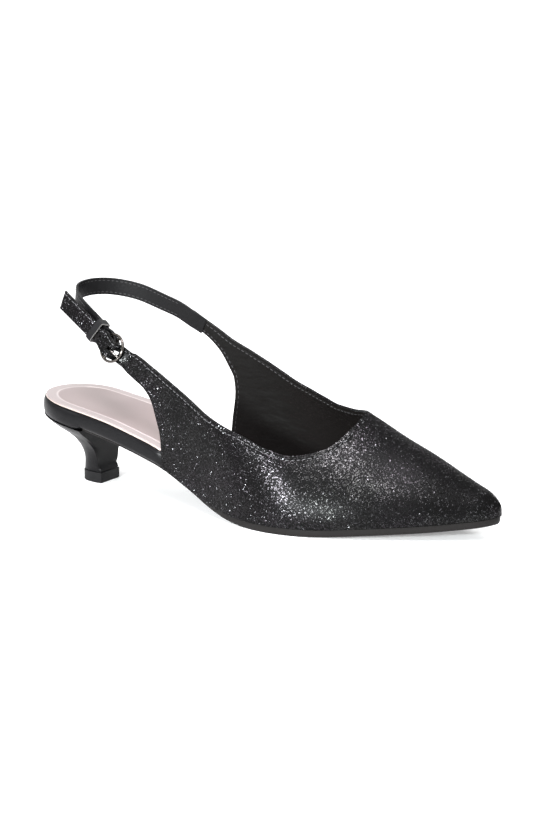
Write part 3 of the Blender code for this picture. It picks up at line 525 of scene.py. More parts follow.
def foilLeather():
    # Black leather under a cracked foil: small flakes, each turned a little its own way.
    look = foilLook
    material, tree, shader = newMaterial("upper_leather_foil", look["base"], look["baseRoughness"])
    shader.inputs["Specular IOR Level"].default_value = look["specular"]
    point = objectPoint(tree)
    flake, parts = cellColours(tree, point, look["flakes"])
    turned = addNode(tree, "ShaderNodeVectorMath", {1: (0.5, 0.5, 0.5)}, operation="SUBTRACT")
    tree.links.new(flake, turned.inputs[0])
    wildParts = cellColours(tree, point, look["flakes"] * look["wildScale"])[1]
    amount = spread(tree, wildParts[1], 0.74, 0.80, look["tilt"], look["wildTilt"])
    scaled = addNode(tree, "ShaderNodeVectorMath", operation="SCALE")
    tree.links.new(turned.outputs[0], scaled.inputs[0])
    tree.links.new(amount, scaled.inputs["Scale"])
    fine = calc(tree, "MULTIPLY", noise(tree, point, 2600.0), 0.5)
    skin = bump(tree, calc(tree, "ADD", cells(tree, point, 900.0), fine), 0.00010, 0.5)
    added = addNode(tree, "ShaderNodeVectorMath", operation="ADD")
    tree.links.new(skin, added.inputs[0])
    tree.links.new(scaled.outputs[0], added.inputs[1])
    facet = addNode(tree, "ShaderNodeVectorMath", operation="NORMALIZE")
    tree.links.new(added.outputs[0], facet.inputs[0])
    patches = spread(tree, noise(tree, point, 60.0, 2.0), 0.35, 0.65, -0.12, 0.12)
    chance = calc(tree, "ADD", parts[0], patches)
    mask = spread(tree, chance, look["share"], look["share"] + 0.04, 0.0, 1.0)
    tint = mixColour(tree, spread(tree, noise(tree, point, 35.0, 1.0), 0.42, 0.58, 0.0, 1.0), look["foil"],
                     look["lilac"])
    bright = spread(tree, wildParts[1], 0.78, 0.82, 0.0, 1.0)
    tint = mixColour(tree, bright, tint, look["spark"])
    tree.links.new(mixColour(tree, mask, look["base"], tint), shader.inputs["Base Color"])
    tree.links.new(mask, shader.inputs["Metallic"])
    rough = spread(tree, mask, 0.0, 1.0, look["baseRoughness"], look["foilRoughness"])
    tree.links.new(rough, shader.inputs["Roughness"])
    normal = addNode(tree, "ShaderNodeMix", data_type="VECTOR")
    tree.links.new(mask, normal.inputs[0])
    tree.links.new(skin, normal.inputs[4])
    tree.links.new(facet.outputs[0], normal.inputs[5])
    tree.links.new(normal.outputs[1], shader.inputs["Normal"])
    return material


def smoothLeather(name, colour, roughness, grainDepth=0.00005, wrinkle=0.0, specular=0.15):
    material, tree, shader = newMaterial(name, colour, roughness)
    shader.inputs["Specular IOR Level"].default_value = specular
    point = objectPoint(tree)
    fine = calc(tree, "MULTIPLY", noise(tree, point, 3500.0), 0.6)
    normal = bump(tree, calc(tree, "ADD", cells(tree, point, 1400.0), fine), grainDepth, 0.7)
    if wrinkle:
        long = objectPoint(tree, (1.0, 1.0, 2.6))
        normal = bump(tree, noise(tree, long, 110.0, 4.0), wrinkle, 0.8, normal)
    tree.links.new(normal, shader.inputs["Normal"])
    cloud = spread(tree, noise(tree, point, 90.0), 0.3, 0.7, roughness - 0.05, roughness + 0.07)
    tree.links.new(cloud, shader.inputs["Roughness"])
    return material


# The pale outermost rim colour is partly the raw edge's tone and partly a painted highlight.
sockLook = {"colour": (0.335, 0.272, 0.264), "shade": (0.265, 0.210, 0.206), "line": (0.58, 0.52, 0.51),
            "border": (0.39, 0.337, 0.328), "rawEdgeAndHighlight": (0.50, 0.42, 0.38), "lineInset": 0.0060,
            "roughness": 0.30, "metallic": 0.6}


def sockFoil():
    # Rose silver foil, with a paler pressed line and border inside the edge, and a pale outermost rim:
    # partly the raw edge's tone, partly a painted highlight along the edge.
    look = sockLook
    finish = (look["colour"], look["roughness"], look["metallic"])
    material, tree, shader = newMaterial("sock_foil_silver", *finish)
    point = objectPoint(tree)
    cloud = spread(tree, noise(tree, point, 28.0, 1.0), 0.15, 0.85, 0.0, 1.0)
    edge = addNode(tree, "ShaderNodeAttribute", attribute_name="edgeRun").outputs["Fac"]
    inset = calc(tree, "ABSOLUTE", calc(tree, "SUBTRACT", edge, look["lineInset"]))
    pressed = spread(tree, inset, 0.0002, 0.0008, 0.75, 0.0)
    beside = spread(tree, edge, look["lineInset"] - 0.0004, look["lineInset"] + 0.0004, 1.0, 0.0)
    # The outermost rim is painted pale: partly the raw edge, partly a painted highlight.
    rawAndHighlight = spread(tree, edge, 0.00015, 0.00045, 1.0, 0.0)
    colour = mixColour(tree, cloud, look["colour"], look["shade"])
    for amount, tone in ((beside, look["border"]), (pressed, look["line"]), (rawAndHighlight, look["rawEdgeAndHighlight"])):
        colour = mixColour(tree, amount, colour, tone)
    tree.links.new(colour, shader.inputs["Base Color"])
    soft = calc(tree, "MULTIPLY", noise(tree, point, 160.0), 2.0)
    fine = calc(tree, "ADD", noise(tree, point, 1000.0, 2.0), soft)
    tree.links.new(bump(tree, fine, 0.00003, 0.4), shader.inputs["Normal"])
    tree.links.new(spread(tree, cloud, 0.0, 1.0, 0.27, 0.36), shader.inputs["Roughness"])
    return material


def rubber(name, colour, roughness):
    material, tree, shader = newMaterial(name, colour, roughness)
    shader.inputs["Specular IOR Level"].default_value = 0.14
    point = objectPoint(tree)
    tree.links.new(bump(tree, noise(tree, point, 2400.0), 0.00005, 0.6), shader.inputs["Normal"])
    scuff = spread(tree, noise(tree, point, 70.0, 5.0), 0.35, 0.7, roughness - 0.06, roughness + 0.12)
    tree.links.new(scuff, shader.inputs["Roughness"])
    return material


def nickel(name, colour, roughness):
    material, tree, shader = newMaterial(name, colour, roughness, 1.0)
    point = objectPoint(tree)
    tree.links.new(bump(tree, noise(tree, point, 900.0, 2.0), 0.00002, 0.4), shader.inputs["Normal"])
    wear = spread(tree, noise(tree, point, 320.0), 0.35, 0.65, roughness - 0.05, roughness + 0.10)
    tree.links.new(wear, shader.inputs["Roughness"])
    return material


def thread(name, colour):
    material, tree, shader = newMaterial(name, colour, 0.55)
    point = objectPoint(tree)
    tree.links.new(bump(tree, noise(tree, point, 6000.0, 1.0), 0.00005, 0.6), shader.inputs["Normal"])
    return material


upperFoil = foilLeather()
liningLeather = smoothLeather("lining_leather", (0.0045, 0.0043, 0.0040), 0.44, 0.00004, 0.0011, 0.08)
foldLeather = smoothLeather("folded_edge_leather", (0.010, 0.010, 0.0105), 0.36, specular=0.42)
rimLeather = smoothLeather("rim_leather", (0.0030, 0.0030, 0.0034), 0.34, specular=0.12)
heelLeather = smoothLeather("heel_leather", (0.0026, 0.0026, 0.0029), 0.38, specular=0.09)
slingLeather = smoothLeather("sling_leather", (0.0032, 0.0032, 0.0035), 0.42, 0.00010, specular=0.12)
keeperLeather = smoothLeather("keeper_leather_skin", (0.0050, 0.0050, 0.0055), 0.36)
# A paler colour for the keeper loop's front and rear faces.
keeperPaleSides = smoothLeather("keeper_pale_sides", (0.16, 0.155, 0.15), 0.5, specular=0.3)
silverSock = sockFoil()
soleRubber = rubber("outsole_rubber_skin", (0.0070, 0.0062, 0.0058), 0.55)
liftRubber = rubber("top_piece_skin", (0.0060, 0.0060, 0.0063), 0.5)
darkNickel = nickel("buckle_nickel", (0.080, 0.073, 0.066), 0.17)
pinNickel = nickel("prong_nickel", (0.115, 0.107, 0.10), 0.18)
blackThread = thread("black_thread", (0.024, 0.024, 0.025))
# The topline's thread: its own dark grey raised to a lighter grey, a painted highlight along the folded
# edge.
toplineThreadWithHighlight = thread("topline_thread_painted_highlight", (0.085, 0.085, 0.088))
greyThread = thread("sock_thread", (0.36, 0.32, 0.33))
print("materials done")


def place(name, mesh, materials, slot, replaces=(), sharp=None):
    data = bpy.data.meshes.new(name)
    mesh.to_mesh(data)
    mesh.free()
    for material in materials:
        data.materials.append(material)
    data.shade_smooth()
    if sharp is not None:
        data.set_sharp_from_angle(angle=math.radians(sharp))
    piece = bpy.data.objects.new(name, data)
    bpy.context.scene.collection.objects.link(piece)
    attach(piece, "root")
    if replaces:
        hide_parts(*replaces)
    return piece


def gridMesh(mesh, points, flip, measures):
    # Adds a grid, moved onto a table of points; measures are (layer name, value table) pairs.
    rows, cols = points.shape[:2]
    for name, values in measures:
        if mesh.verts.layers.float.get(name) is None:
            mesh.verts.layers.float.new(name)
    made = bmesh.ops.create_grid(mesh, x_segments=cols - 1, y_segments=rows - 1, size=0.5)
    layers = [(mesh.verts.layers.float[name], values) for name, values in measures]
    faces = set()
    for vert in made["verts"]:
        row = round((vert.co.y + 0.5) * (rows - 1))
        col = round((vert.co.x + 0.5) * (cols - 1))
        vert.co = points[row, col]
        for layer, values in layers:
            vert[layer] = float(values[row, col])
        faces.update(vert.link_faces)
    if flip:
        bmesh.ops.reverse_faces(mesh, faces=list(faces))
    return list(faces)


upperLook = {"edgeBand": 0.0030, "edgeCols": 8, "midCols": 30, "foldWidth": 0.0019, "foldRise": 0.00016,
             "groove": 0.00020, "grooveWidth": 0.00030, "strapStep": 0.0006, "ripple": 0.00010,
             "ribLean": 0.8, "strapScale": 0.6, "holePlace": 0.0086, "holeRadius": 0.00055,
             "prongSlot": 0.35, "prongSlotPlace": -0.32, "prongSlotHalf": 0.0009, "edgeRound": 0.00045,
             "quarterRows": 56, "waistRows": 44, "frontRows": 60, "toeRows": 66}
throatPlace = outerEdgeRows[-1][0]
cornerPlace = 0.36
waistPlace = 0.64


def levelShares(length):
    # Levels up a rib, close together along both of its edges.
    edge = min(upperLook["edgeBand"], 0.34 * length) / length
    low = np.linspace(0, edge, upperLook["edgeCols"])
    middle = np.linspace(edge, 1 - edge, upperLook["midCols"])[1:-1]
    return np.concatenate([low, middle, 1 - low[::-1]])


def quarterGrid(rows, side):
    at = column(edgeColumns, rows, "place")
    throat = rows[-1]
    quarter = np.linspace(0, cornerPlace, upperLook["quarterRows"])
    waist = np.linspace(cornerPlace, waistPlace, upperLook["waistRows"])[1:]
    left = 1 - np.linspace(0, 1, upperLook["frontRows"])[1:]
    front = throatPlace - (throatPlace - waistPlace) * left ** 1.3
    left = 1 - np.linspace(0, 1, upperLook["toeRows"])[1:]
    toe = throatPlace + (1 - throatPlace) * (1 - left ** 1.45)
    places = np.concatenate([quarter, waist, front, toe])
    names = ("topShare", "topRise", "lowShare", "lowRise")
    edges = [smooth(at, column(edgeColumns, rows, name), places) for name in names]
    topShare, topRise, lowShare, lowRise = edges
    ahead = np.clip((places - throatPlace) / (1 - throatPlace), 0, 1)
    inFront = places >= throatPlace - 1e-9
    topShare = np.where(inFront, throat[1] + (1 - throat[1]) * ahead, topShare)
    lowShare = np.where(inFront, throat[3] + (1 - throat[3]) * ahead, lowShare)
    topRib = np.where(inFront, 1.0, ribAt(topShare, topRise))
    lowRib = np.where(lowRise <= 1e-6, 0.0, ribAt(lowShare, lowRise))
    kept = inFront | (topRib < 0.985)
    places, ahead, inFront, topShare, lowShare, topRib, lowRib = (
        table[kept] for table in (places, ahead, inFront, topShare, lowShare, topRib, lowRib))
    before = np.clip((places - 0.63) / (throatPlace - 0.63), 0, 1) ** 1.5
    lean = upperLook["ribLean"] * np.where(inFront, (1 - ahead) ** 2, before)

    def skin(levels):
        bent = levels + lean[:, None] * levels * (1 - levels)
        share = lowShare[:, None] + (topShare - lowShare)[:, None] * bent
        rib = lowRib[:, None] + (topRib - lowRib)[:, None] * levels
        return lastPoint(share, rib, side)

    rough = skin(np.linspace(0, 1, 9)[None, :])
    lengths = np.linalg.norm(np.diff(rough, axis=1), axis=2).sum(axis=1)
    levels = np.stack([levelShares(length) for length in lengths])
    return places, skin(levels)


def strapGrid(route):
    run, lift, drop = tailWay()
    loose = 1.45 * ringRadius
    count = int((tailLength + loose) / upperLook["strapStep"])
    steps = np.linspace(tailLength, -loose, count)
    levels = levelShares(strapWidth)
    points = np.zeros((count, len(levels), 3))
    for row, step in enumerate(steps):
        lean = tipCut / 2 * np.clip((step - tailLength) / (tipCut / 2) + 1, 0, 1)
        for col, level in enumerate(levels - 0.5):
            spot = step + lean * 2 * level
            skin = float(smooth(run, lift, spot)) + wall / 2
            climb = level * strapWidth - float(smooth(run, drop, spot))
            points[row, col] = strapPoint(route, spot, skin, climb)
    return steps, points


def normals(points, flip):
    # Outward normals of a grid of points.
    along = np.gradient(points, axis=0)
    up = np.gradient(points, axis=1)
    turned = np.cross(along, up)
    size = np.linalg.norm(turned, axis=2, keepdims=True)
    turned = turned / np.maximum(size, 1e-12)
    return -turned if flip else turned


def nearest(points, line):
    # Distance of every grid point from a line of points.
    flat = points.reshape(-1, 3)
    best = np.full(len(flat), 9.0)
    for start in range(0, len(line) - 1):
        a, b = line[start], line[start + 1]
        way = b - a
        part = np.clip(((flat - a) @ way) / max(way @ way, 1e-18), 0, 1)
        best = np.minimum(best, np.linalg.norm(flat - a - part[:, None] * way, axis=1))
    return best.reshape(points.shape[:2])


def buildSkins(route):
    skins = {}
    for side, rows in ((outer, outerEdgeRows), (inner, innerEdgeRows)):
        places, points = quarterGrid(rows, side)
        steps = np.zeros(0)
        if side == outer:
            steps, strap = strapGrid(route)
            points = np.concatenate([strap, points])
        first = len(steps)
        topRows = first + int(np.sum(places <= throatPlace + 1e-9))
        lowRows = first + int(np.sum(places <= cornerPlace + 1e-9))
        skins[side] = {"places": places, "steps": steps, "points": points, "first": first,
                       "top": points[:topRows, -1], "low": points[:lowRows, 0],
                       "normal": normals(points, side == inner)}
    whole = np.concatenate([skins[outer]["top"], skins[inner]["top"][::-1]])
    for side in (outer, inner):
        skin = skins[side]
        slim = np.concatenate([np.zeros(skin["first"]), np.clip(skin["places"] / 0.22, 0, 1)])
        slim = upperLook["strapScale"] + (1 - upperLook["strapScale"]) * eased(slim)
        skin["toTop"] = nearest(skin["points"], whole) / slim[:, None]
        skin["toLow"] = nearest(skin["points"], skin["low"]) / slim[:, None]
        edge = np.minimum(skin["toTop"], skin["toLow"])
        fold = np.clip((upperLook["foldWidth"] - edge) / 0.0004 + 0.5, 0, 1)
        groove = np.exp(-((edge - upperLook["foldWidth"] - 0.0003) / upperLook["grooveWidth"]) ** 2)
        x, z = skin["points"][..., 0], skin["points"][..., 2]
        ripple = np.sin(x * 61 + z * 90) * np.sin(x * 140 - z * 47) * upperLook["ripple"]
        ripple *= np.clip(edge / 0.01, 0, 1)
        shift = eased(fold) * upperLook["foldRise"]
        shift += ripple - groove * upperLook["groove"]
        skin["edge"] = edge
        skin["shown"] = skin["points"] + skin["normal"] * shift[..., None]
    ridge = slice(-int(np.sum(skins[inner]["places"] >= throatPlace - 1e-9)), None)
    skins[inner]["shown"][ridge, -1] = skins[outer]["shown"][ridge, -1]
    skins[inner]["shown"][-1] = skins[outer]["shown"][-1]
    return skins


def punchHole(mesh, route, run, radius):
    # A round hole through the loose strap: faces taken out, their rim moved onto a circle.
    way, lift, drop = tailWay()
    skin = float(smooth(way, lift, run)) + wall / 2
    middle = strapPoint(route, run, skin, -float(smooth(way, drop, run)))
    near = [face for face in mesh.faces
            if np.linalg.norm(np.array(face.calc_center_median()) - middle) < radius * 0.9]
    rim = {vert for face in near for vert in face.verts}
    bmesh.ops.delete(mesh, geom=near, context="FACES")
    outward = route.axes(min(run, straightPlace))[1]
    for vert in [vert for vert in rim if vert.is_valid and vert.is_boundary]:
        away = np.array(vert.co) - middle
        flat = away - outward * (away @ outward)
        vert.co = Vector(middle + flat / np.linalg.norm(flat) * radius + outward * (away @ outward))


def makeUpperShell(skins, route):
    mesh = bmesh.new()
    for side in (outer, inner):
        skin = skins[side]
        gridMesh(mesh, skin["shown"], side == outer, (("edgeRun", skin["edge"]),))
    # The prong's slot, cut out before the wall gets its thickness
    look = upperLook
    slotMiddle = route.at(ringRadius * look["prongSlotPlace"], barRadius + slingThickness)
    tangent, outward, across = route.axes(0.0)
    slotFaces = []
    for face in mesh.faces:
        away = np.array(face.calc_center_median()) - slotMiddle
        if (abs(away @ tangent) < ringRadius * look["prongSlot"]
                and abs(away @ across) < look["prongSlotHalf"] and abs(away @ outward) < 0.004):
            slotFaces.append(face)
    bmesh.ops.delete(mesh, geom=slotFaces, context="FACES")
    bmesh.ops.remove_doubles(mesh, verts=mesh.verts, dist=2e-6)
    punchHole(mesh, route, look["holePlace"], look["holeRadius"])
    skinLeathers = (upperFoil, liningLeather, foldLeather)
    piece = place("upper_shell", mesh, skinLeathers, "upper_leather", ("upper",))
    solid = piece.modifiers.new("wall", "SOLIDIFY")
    solid.thickness = wall
    solid.offset = -1
    solid.use_rim = True
    solid.material_offset = 1
    rim = piece.modifiers.new("edges", "BEVEL")
    rim.width = look["edgeRound"]
    rim.segments = 2
    rim.material = 2
    rim.limit_method = "ANGLE"
    rim.angle_limit = math.radians(50)
    return piece


def contour(skin, field, reach, rows, fromTop):
    # Where a distance field crosses a wanted reach, row by row: point and normal.
    points, facing = [], []
    table = skin[field]
    for row in rows:
        line = table[row][::-1] if fromTop else table[row]
        spots = skin["shown"][row][::-1] if fromTop else skin["shown"][row]
        sides = skin["normal"][row][::-1] if fromTop else skin["normal"][row]
        past = np.nonzero(line >= reach)[0]
        if len(past) == 0 or past[0] == 0:
            continue
        k = past[0]
        part = (reach - line[k - 1]) / (line[k] - line[k - 1])
        points.append(spots[k - 1] + (spots[k] - spots[k - 1]) * part)
        facing.append(sides[k])
    return np.array(points), np.array(facing)


def beadSize(look):
    return look["length"], look["pitch"], look["width"], look["height"]


def stitchRow(mesh, points, facing, length, pitch, width, height):
    # Stitches along a line, each a small stretched bead.
    step = np.linalg.norm(np.diff(points, axis=0), axis=1)
    run = np.concatenate([[0], np.cumsum(step)])
    for middle in np.arange(pitch / 2, run[-1] - pitch / 2, pitch):
        start = valueAt(middle - length / 2, run, points)
        end = valueAt(middle + length / 2, run, points)
        along = Vector(end - start).normalized()
        up = Vector(valueAt(middle, run, facing))
        up = (up - along * up.dot(along)).normalized()
        side = along.cross(up)
        turn = Matrix((along * length / 2, side * width / 2, up * height)).transposed().to_4x4()
        spot = Matrix.Translation(Vector(valueAt(middle, run, points)))
        bmesh.ops.create_uvsphere(mesh, u_segments=6, v_segments=4, radius=1, matrix=spot @ turn
                                  @ Matrix.Rotation(math.pi / 2, 4, "Y"))


stitchLook = {"inset": 0.00215, "length": 0.0020, "pitch": 0.0027, "width": 0.00042, "height": 0.00026}


def makeUpperStitches(skins):
    # The topline's stitches outside and in the lining, and the inner quarter's rear ones.
    look = stitchLook
    size = beadSize(look)
    lines = {}
    for side in (outer, inner):
        rows = range(0, len(skins[side]["points"]))
        lines[side] = contour(skins[side], "toTop", look["inset"], rows, True)
    top = np.concatenate([lines[outer][0], lines[inner][0][::-1]])
    facing = np.concatenate([lines[outer][1], lines[inner][1][::-1]])
    mesh = bmesh.new()
    stitchRow(mesh, top, facing, *size)
    # The lighter thread here is a painted highlight along the topline.
    place("topline_stitches", mesh, (toplineThreadWithHighlight,), "upper_leather")
    mesh = bmesh.new()
    stitchRow(mesh, top - facing * wall, -facing, *size)
    skin = skins[inner]
    points, facing = contour(skin, "toLow", look["inset"], range(0, len(skin["low"])), False)
    stitchRow(mesh, points, facing, *size)
    stitchRow(mesh, points - facing * wall, -facing, *size)
    place("lining_stitches", mesh, (blackThread,), "upper_leather")


slingStitchLook = {"inset": 0.0013, "length": 0.0017, "pitch": 0.0023, "width": 0.00034, "height": 0.00014,
                   "start": 0.72, "endShort": 0.016}


def makeSlingStitches(route):
    # Two rows on each face of the strap, from under the tail to short of its inner end.
    look = slingStitchLook
    size = beadSize(look)
    runs = np.linspace(tailLength * look["start"], route.run[-1] - look["endShort"], 120)
    rowHeight = strapWidth / 2 - look["inset"]
    mesh = bmesh.new()
    for climb in (-rowHeight, rowHeight):
        for face in (-1, 1):
            points = np.array([route.at(run, face * slingThickness / 2, climb) for run in runs])
            facing = np.array([route.axes(run)[1] * face for run in runs])
            stitchRow(mesh, points, facing, *size)
    return place("sling_stitches", mesh, (blackThread,), "strap_leather")


sockLevels = {"rows": 170, "edgeCols": 24, "midCols": 18, "edgeBand": 0.0075, "lineDepth": 0.00022,
              "lineWidth": 0.00045, "round": 0.0005, "sheet": 0.8}
wallStep = 0.0022


def wallCover(share, side):
    # 1 where the upper's wall stands outside the footbed, 0 behind its rear corner.
    rows = outerEdgeRows if side == outer else innerEdgeRows
    corner = min(row[3] for row in rows if row[4] == 0)
    start = corner - 3 * gap / shoeLength
    return np.clip((share - start) * shoeLength / wallStep + 1, 0, 1)


def makeSock():
    look = sockLevels
    even = np.linspace(0, 1, look["rows"])
    shares = 0.5 - 0.5 * np.cos(math.pi * even)
    shares = 0.62 * shares + 0.38 * even
    shares[0], shares[-1] = 0, 1
    sides = {}
    for side in (outer, inner):
        inset = sockInset + wallCover(shares, side) * (wall + gap)
        sides[side] = np.stack(outlineSide(shares, side, inset), axis=1)
    cols = 2 * look["edgeCols"] + look["midCols"] - 2
    top = np.zeros((look["rows"], cols, 3))
    for row in range(look["rows"]):
        a, b = sides[outer][row], sides[inner][row]
        width = np.linalg.norm(b - a)
        edge = min(look["edgeBand"], 0.34 * width) / max(width, 1e-9)
        low = np.linspace(0, edge, look["edgeCols"])
        middle = np.linspace(edge, 1 - edge, look["midCols"])[1:-1]
        levels = np.concatenate([low, middle, 1 - low[::-1]])
        spots = a + (b - a) * levels[:, None]
        top[row, :, :2] = spots
        top[row, :, 2] = bedTop((spots[:, 0] + heelCentre) / shoeLength) + gap + sockThickness
    rim = np.concatenate([sides[outer], sides[inner][::-1]])
    rim = np.column_stack([rim, np.zeros(len(rim))])
    flat = top.copy()
    flat[..., 2] = 0
    edge = nearest(flat, rim)
    line = np.exp(-((edge - sockLook["lineInset"]) / look["lineWidth"]) ** 2) * look["lineDepth"]
    rounded = np.clip(1 - edge / look["round"], 0, 1)
    top[..., 2] -= line + (1 - np.sqrt(1 - rounded ** 2)) * sockThickness * look["sheet"]
    mesh = bmesh.new()
    gridMesh(mesh, top, True, (("edgeRun", edge),))
    bmesh.ops.remove_doubles(mesh, verts=mesh.verts, dist=1e-6)
    bmesh.ops.recalc_face_normals(mesh, faces=mesh.faces)
    if sum(face.normal.z for face in mesh.faces) < 0:
        bmesh.ops.reverse_faces(mesh, faces=mesh.faces)
    piece = place("sock_sheet", mesh, (silverSock,), "sock_foil", ("insole_sock",))
    solid = piece.modifiers.new("thickness", "SOLIDIFY")
    solid.thickness = sockThickness * look["sheet"]
    solid.offset = -1
    return piece


sockStitchLook = {"inset": 0.0010, "length": 0.0011, "pitch": 0.0017, "width": 0.00032, "height": 0.00012}


def makeSockStitches():
    look = sockStitchLook
    size = beadSize(look)
    shares = np.linspace(0.0, 0.40, 140) ** 1.6 * 0.40 ** -0.6
    mesh = bmesh.new()
    for side in (outer, inner):
        inset = sockInset + wallCover(shares, side) * (wall + gap) + look["inset"]
        x, y = outlineSide(shares, side, inset)
        z = bedTop((x + heelCentre) / shoeLength) + gap + sockThickness
        points = np.stack([x, y, z], axis=1)
        facing = np.tile([0.0, 0.0, 1.0], (len(points), 1))
        stitchRow(mesh, points, facing, *size)
    return place("sock_stitches", mesh, (greyThread,), "sock_foil")


def refined(node, name, material, slot, bevel, levels=2, angle=38, flatTop=False):
    # A CAD node's own form, welded, with its sharp edges rounded and its curves refined.
    mesh = bmesh.new()
    mesh.from_mesh(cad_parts[node].data)
    crease = mesh.edges.layers.float.get("crease_edge") or mesh.edges.layers.float.new("crease_edge")
    bmesh.ops.remove_doubles(mesh, verts=mesh.verts, dist=1e-6)
    bmesh.ops.join_triangles(mesh, faces=mesh.faces, angle_face_threshold=math.radians(25),
                             angle_shape_threshold=math.radians(120))
    sharp = [edge for edge in mesh.edges if len(edge.link_faces) == 2
             and edge.calc_face_angle(0) > math.radians(angle)]
    if bevel:
        bmesh.ops.bevel(mesh, geom=sharp, offset=bevel, segments=2, profile=0.5, affect="EDGES", material=-1,
                        clamp_overlap=True)
    else:
        for edge in sharp:
            edge[crease] = 1.0
    if flatTop:
        for edge in mesh.edges:
            way = (edge.verts[1].co - edge.verts[0].co).normalized()
            if all(face.normal.z > 0.75 for face in edge.link_faces):
                edge[crease] = 1.0
            elif abs(way.z) > 0.8:
                edge[crease] = 0.0
    piece = place(name, mesh, (material,), slot, (node,))
    fine = piece.modifiers.new("fine", "SUBSURF")
    fine.levels = levels
    fine.render_levels = levels
    return piece


skive = {"length": 0.009, "left": 0.22, "search": 0.05}


def skiveSling(piece, route):
    # Thins the strap's inner end towards the quarter that it is sewn to.
    reach = [k for k in range(len(route.run)) if route.run[k] > route.run[-1] - skive["search"]]
    far = Vector(max((route.line[k] for k in reach), key=lambda spot: spot[0]))
    ends = [vertex for vertex in piece.data.vertices if (vertex.co - far).length < skive["search"]]
    runs = {}
    for vertex in ends:
        spot = np.array(vertex.co)
        k = reach[int(np.argmin(np.linalg.norm(route.line[reach] - spot, axis=1)))]
        runs[vertex.index] = (float(route.run[k] + (spot - route.line[k]) @ route.tangent[k]), k)
    endRun = max(run for run, k in runs.values())
    for vertex in ends:
        run, k = runs[vertex.index]
        share = eased(min(max((run - endRun) / skive["length"] + 1, 0.0), 1.0))
        lift = float((np.array(vertex.co) - route.line[k]) @ route.outward[k])
        drop = (slingThickness / 2 - lift) * (1 - skive["left"]) * share
        vertex.co += Vector(route.outward[k]) * drop
    return piece


def paleKeeper(piece, route):
    # The loop's faces that face along the strap are given a paler colour.
    tangent = Vector(route.axes(keeperPlace)[0])
    piece.data.materials.append(keeperPaleSides)
    for face in piece.data.polygons:
        if abs(face.normal.dot(tangent)) > 0.85:
            face.material_index = 1
    return piece


route = Route()
skins = buildSkins(route)
print("skins laid out")
makeUpperShell(skins, route)
makeUpperStitches(skins)
print("upper done")
makeSlingStitches(route)
makeSock()
makeSockStitches()
print("sock done")
refined("footbed", "footbed_rim", rimLeather, "footbed_wrap", 0.0, 2, flatTop=True)
refined("heel", "heel_block", heelLeather, "heel_wrap", 0.0006, 2)
refined("top_piece", "heel_tip", liftRubber, "top_piece_rubber", 0.0002, 1)
refined("outsole", "outsole_sheet", soleRubber, "outsole_rubber", 0.0002, 2)
skiveSling(refined("sling_strap", "sling_band", slingLeather, "strap_leather", 0.0002, 1), route)
paleKeeper(refined("keeper", "keeper_loop", keeperLeather, "keeper_leather", 0.0001, 2), route)
refined("buckle_ring", "buckle_frame", darkNickel, "buckle_metal", 0.0, 1, 180)
refined("buckle_prong", "buckle_pin", pinNickel, "prong_metal", 0.0, 1, 180)
print("hard pieces done")


# The camera keeps the photograph's direction to the shoe, from 1.12 m away.
camera = {"target": (0.0968, 0.0, 0.040), "azimuth": 33.0, "elevation": 13.2, "distance": 1.120,
          "lens": 99.0, "aim": (0.1085, 0.0, 0.0485)}


def makeCamera():
    look = camera
    turn, rise = math.radians(look["azimuth"]), math.radians(look["elevation"])
    away = Vector((math.sin(turn) * math.cos(rise), -math.cos(turn) * math.cos(rise), math.sin(rise)))
    data = bpy.data.cameras.new("camera")
    data.lens = look["lens"]
    data.sensor_width = 36
    eye = bpy.data.objects.new("camera", data)
    bpy.context.scene.collection.objects.link(eye)
    eye.location = Vector(look["target"]) + away * look["distance"]
    eye.rotation_euler = (Vector(look["aim"]) - eye.location).to_track_quat("-Z", "Y").to_euler()
    bpy.context.scene.camera = eye


lights = (
    # name, azimuth from +X, elevation, distance, width, height, watts, colour
    ("front_low", -87, 15, 0.9, 0.25, 0.09, 14.5, (0.95, 0.99, 1.0)),
    ("front_high", -77, 59, 0.9, 0.26, 0.15, 9.0, (0.98, 0.93, 1.0)),
    ("toe_side", -60, 41, 0.9, 0.12, 0.12, 2.0, (1.0, 1.0, 1.0)),
    ("left_soft", -130, 28, 1.5, 0.80, 0.70, 4.5, (1.0, 1.0, 1.0)),
    ("overhead", 88, 62, 2.0, 1.8, 1.8, 26.0, (1.0, 1.0, 1.0)),
)


studio = {"middle": (0.11, 0, 0.03), "world": 0.72, "floor": 0.80, "glow": 0.30, "half": 3.0,
          "bendFrom": 1.2, "bendRadius": 1.2, "turn": 33}


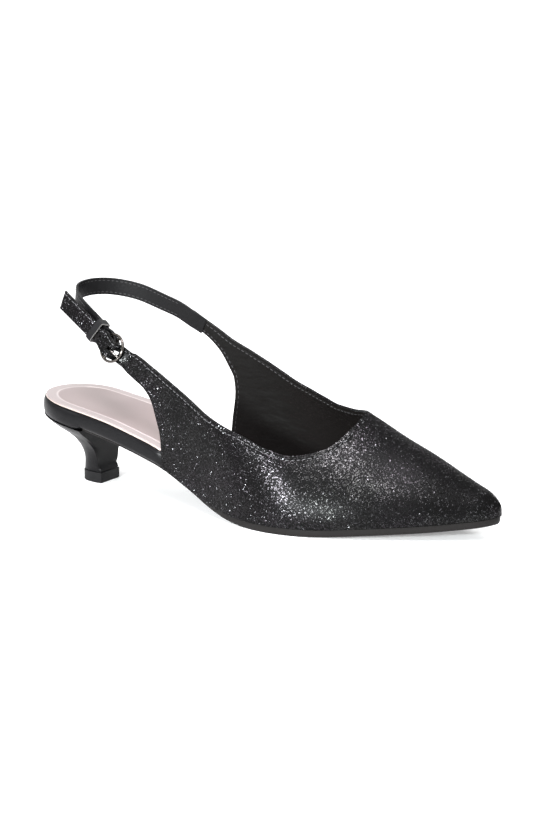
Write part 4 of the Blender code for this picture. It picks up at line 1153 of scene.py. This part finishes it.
def makeLights():
    middle = Vector(studio["middle"])
    for name, azimuth, elevation, distance, width, height, watts, colour in lights:
        turn, rise = math.radians(azimuth), math.radians(elevation)
        away = Vector((math.cos(turn) * math.cos(rise), math.sin(turn) * math.cos(rise), math.sin(rise)))
        data = bpy.data.lights.new(name, "AREA")
        data.shape = "RECTANGLE"
        data.size = width
        data.size_y = height
        data.energy = watts
        data.color = colour
        lamp = bpy.data.objects.new(name, data)
        bpy.context.scene.collection.objects.link(lamp)
        lamp.location = middle + away * distance
        lamp.rotation_euler = (-away).to_track_quat("-Z", "Y").to_euler()
    world = bpy.data.worlds.new("studio")
    world.use_nodes = True
    background = world.node_tree.nodes["Background"]
    background.inputs["Color"].default_value = (1, 1, 1, 1)
    background.inputs["Strength"].default_value = studio["world"]
    bpy.context.scene.world = world


def makeFloor():
    # A pale sweep: flat under the shoe, curving up far behind it.
    mesh = bmesh.new()
    made = bmesh.ops.create_grid(mesh, x_segments=2, y_segments=40, size=studio["half"])
    bend = studio["bendRadius"]
    for vert in made["verts"]:
        far = max(vert.co.y - studio["bendFrom"], 0)
        angle = min(far / bend, math.pi / 2)
        if far > 0:
            rest = max(far - bend * math.pi / 2, 0)
            vert.co.y = studio["bendFrom"] + bend * math.sin(angle)
            vert.co.z = bend * (1 - math.cos(angle)) + rest
    data = bpy.data.meshes.new("floor_sweep")
    mesh.to_mesh(data)
    mesh.free()
    data.shade_smooth()
    material, tree, shader = newMaterial("floor_paint", (studio["floor"],) * 3, 0.9)
    shader.inputs["Emission Color"].default_value = (1, 1, 1, 1)
    shader.inputs["Emission Strength"].default_value = studio["glow"]
    shader.inputs["Specular IOR Level"].default_value = 0.2
    point = objectPoint(tree)
    tree.links.new(bump(tree, noise(tree, point, 400.0), 0.0001, 0.2), shader.inputs["Normal"])
    data.materials.append(material)
    floor = bpy.data.objects.new("floor_sweep", data)
    bpy.context.scene.collection.objects.link(floor)
    floor.rotation_euler = (0, 0, math.radians(studio["turn"]))


makeCamera()
makeLights()
makeFloor()
bpy.context.scene.view_settings.view_transform = "Standard"
print("studio done")
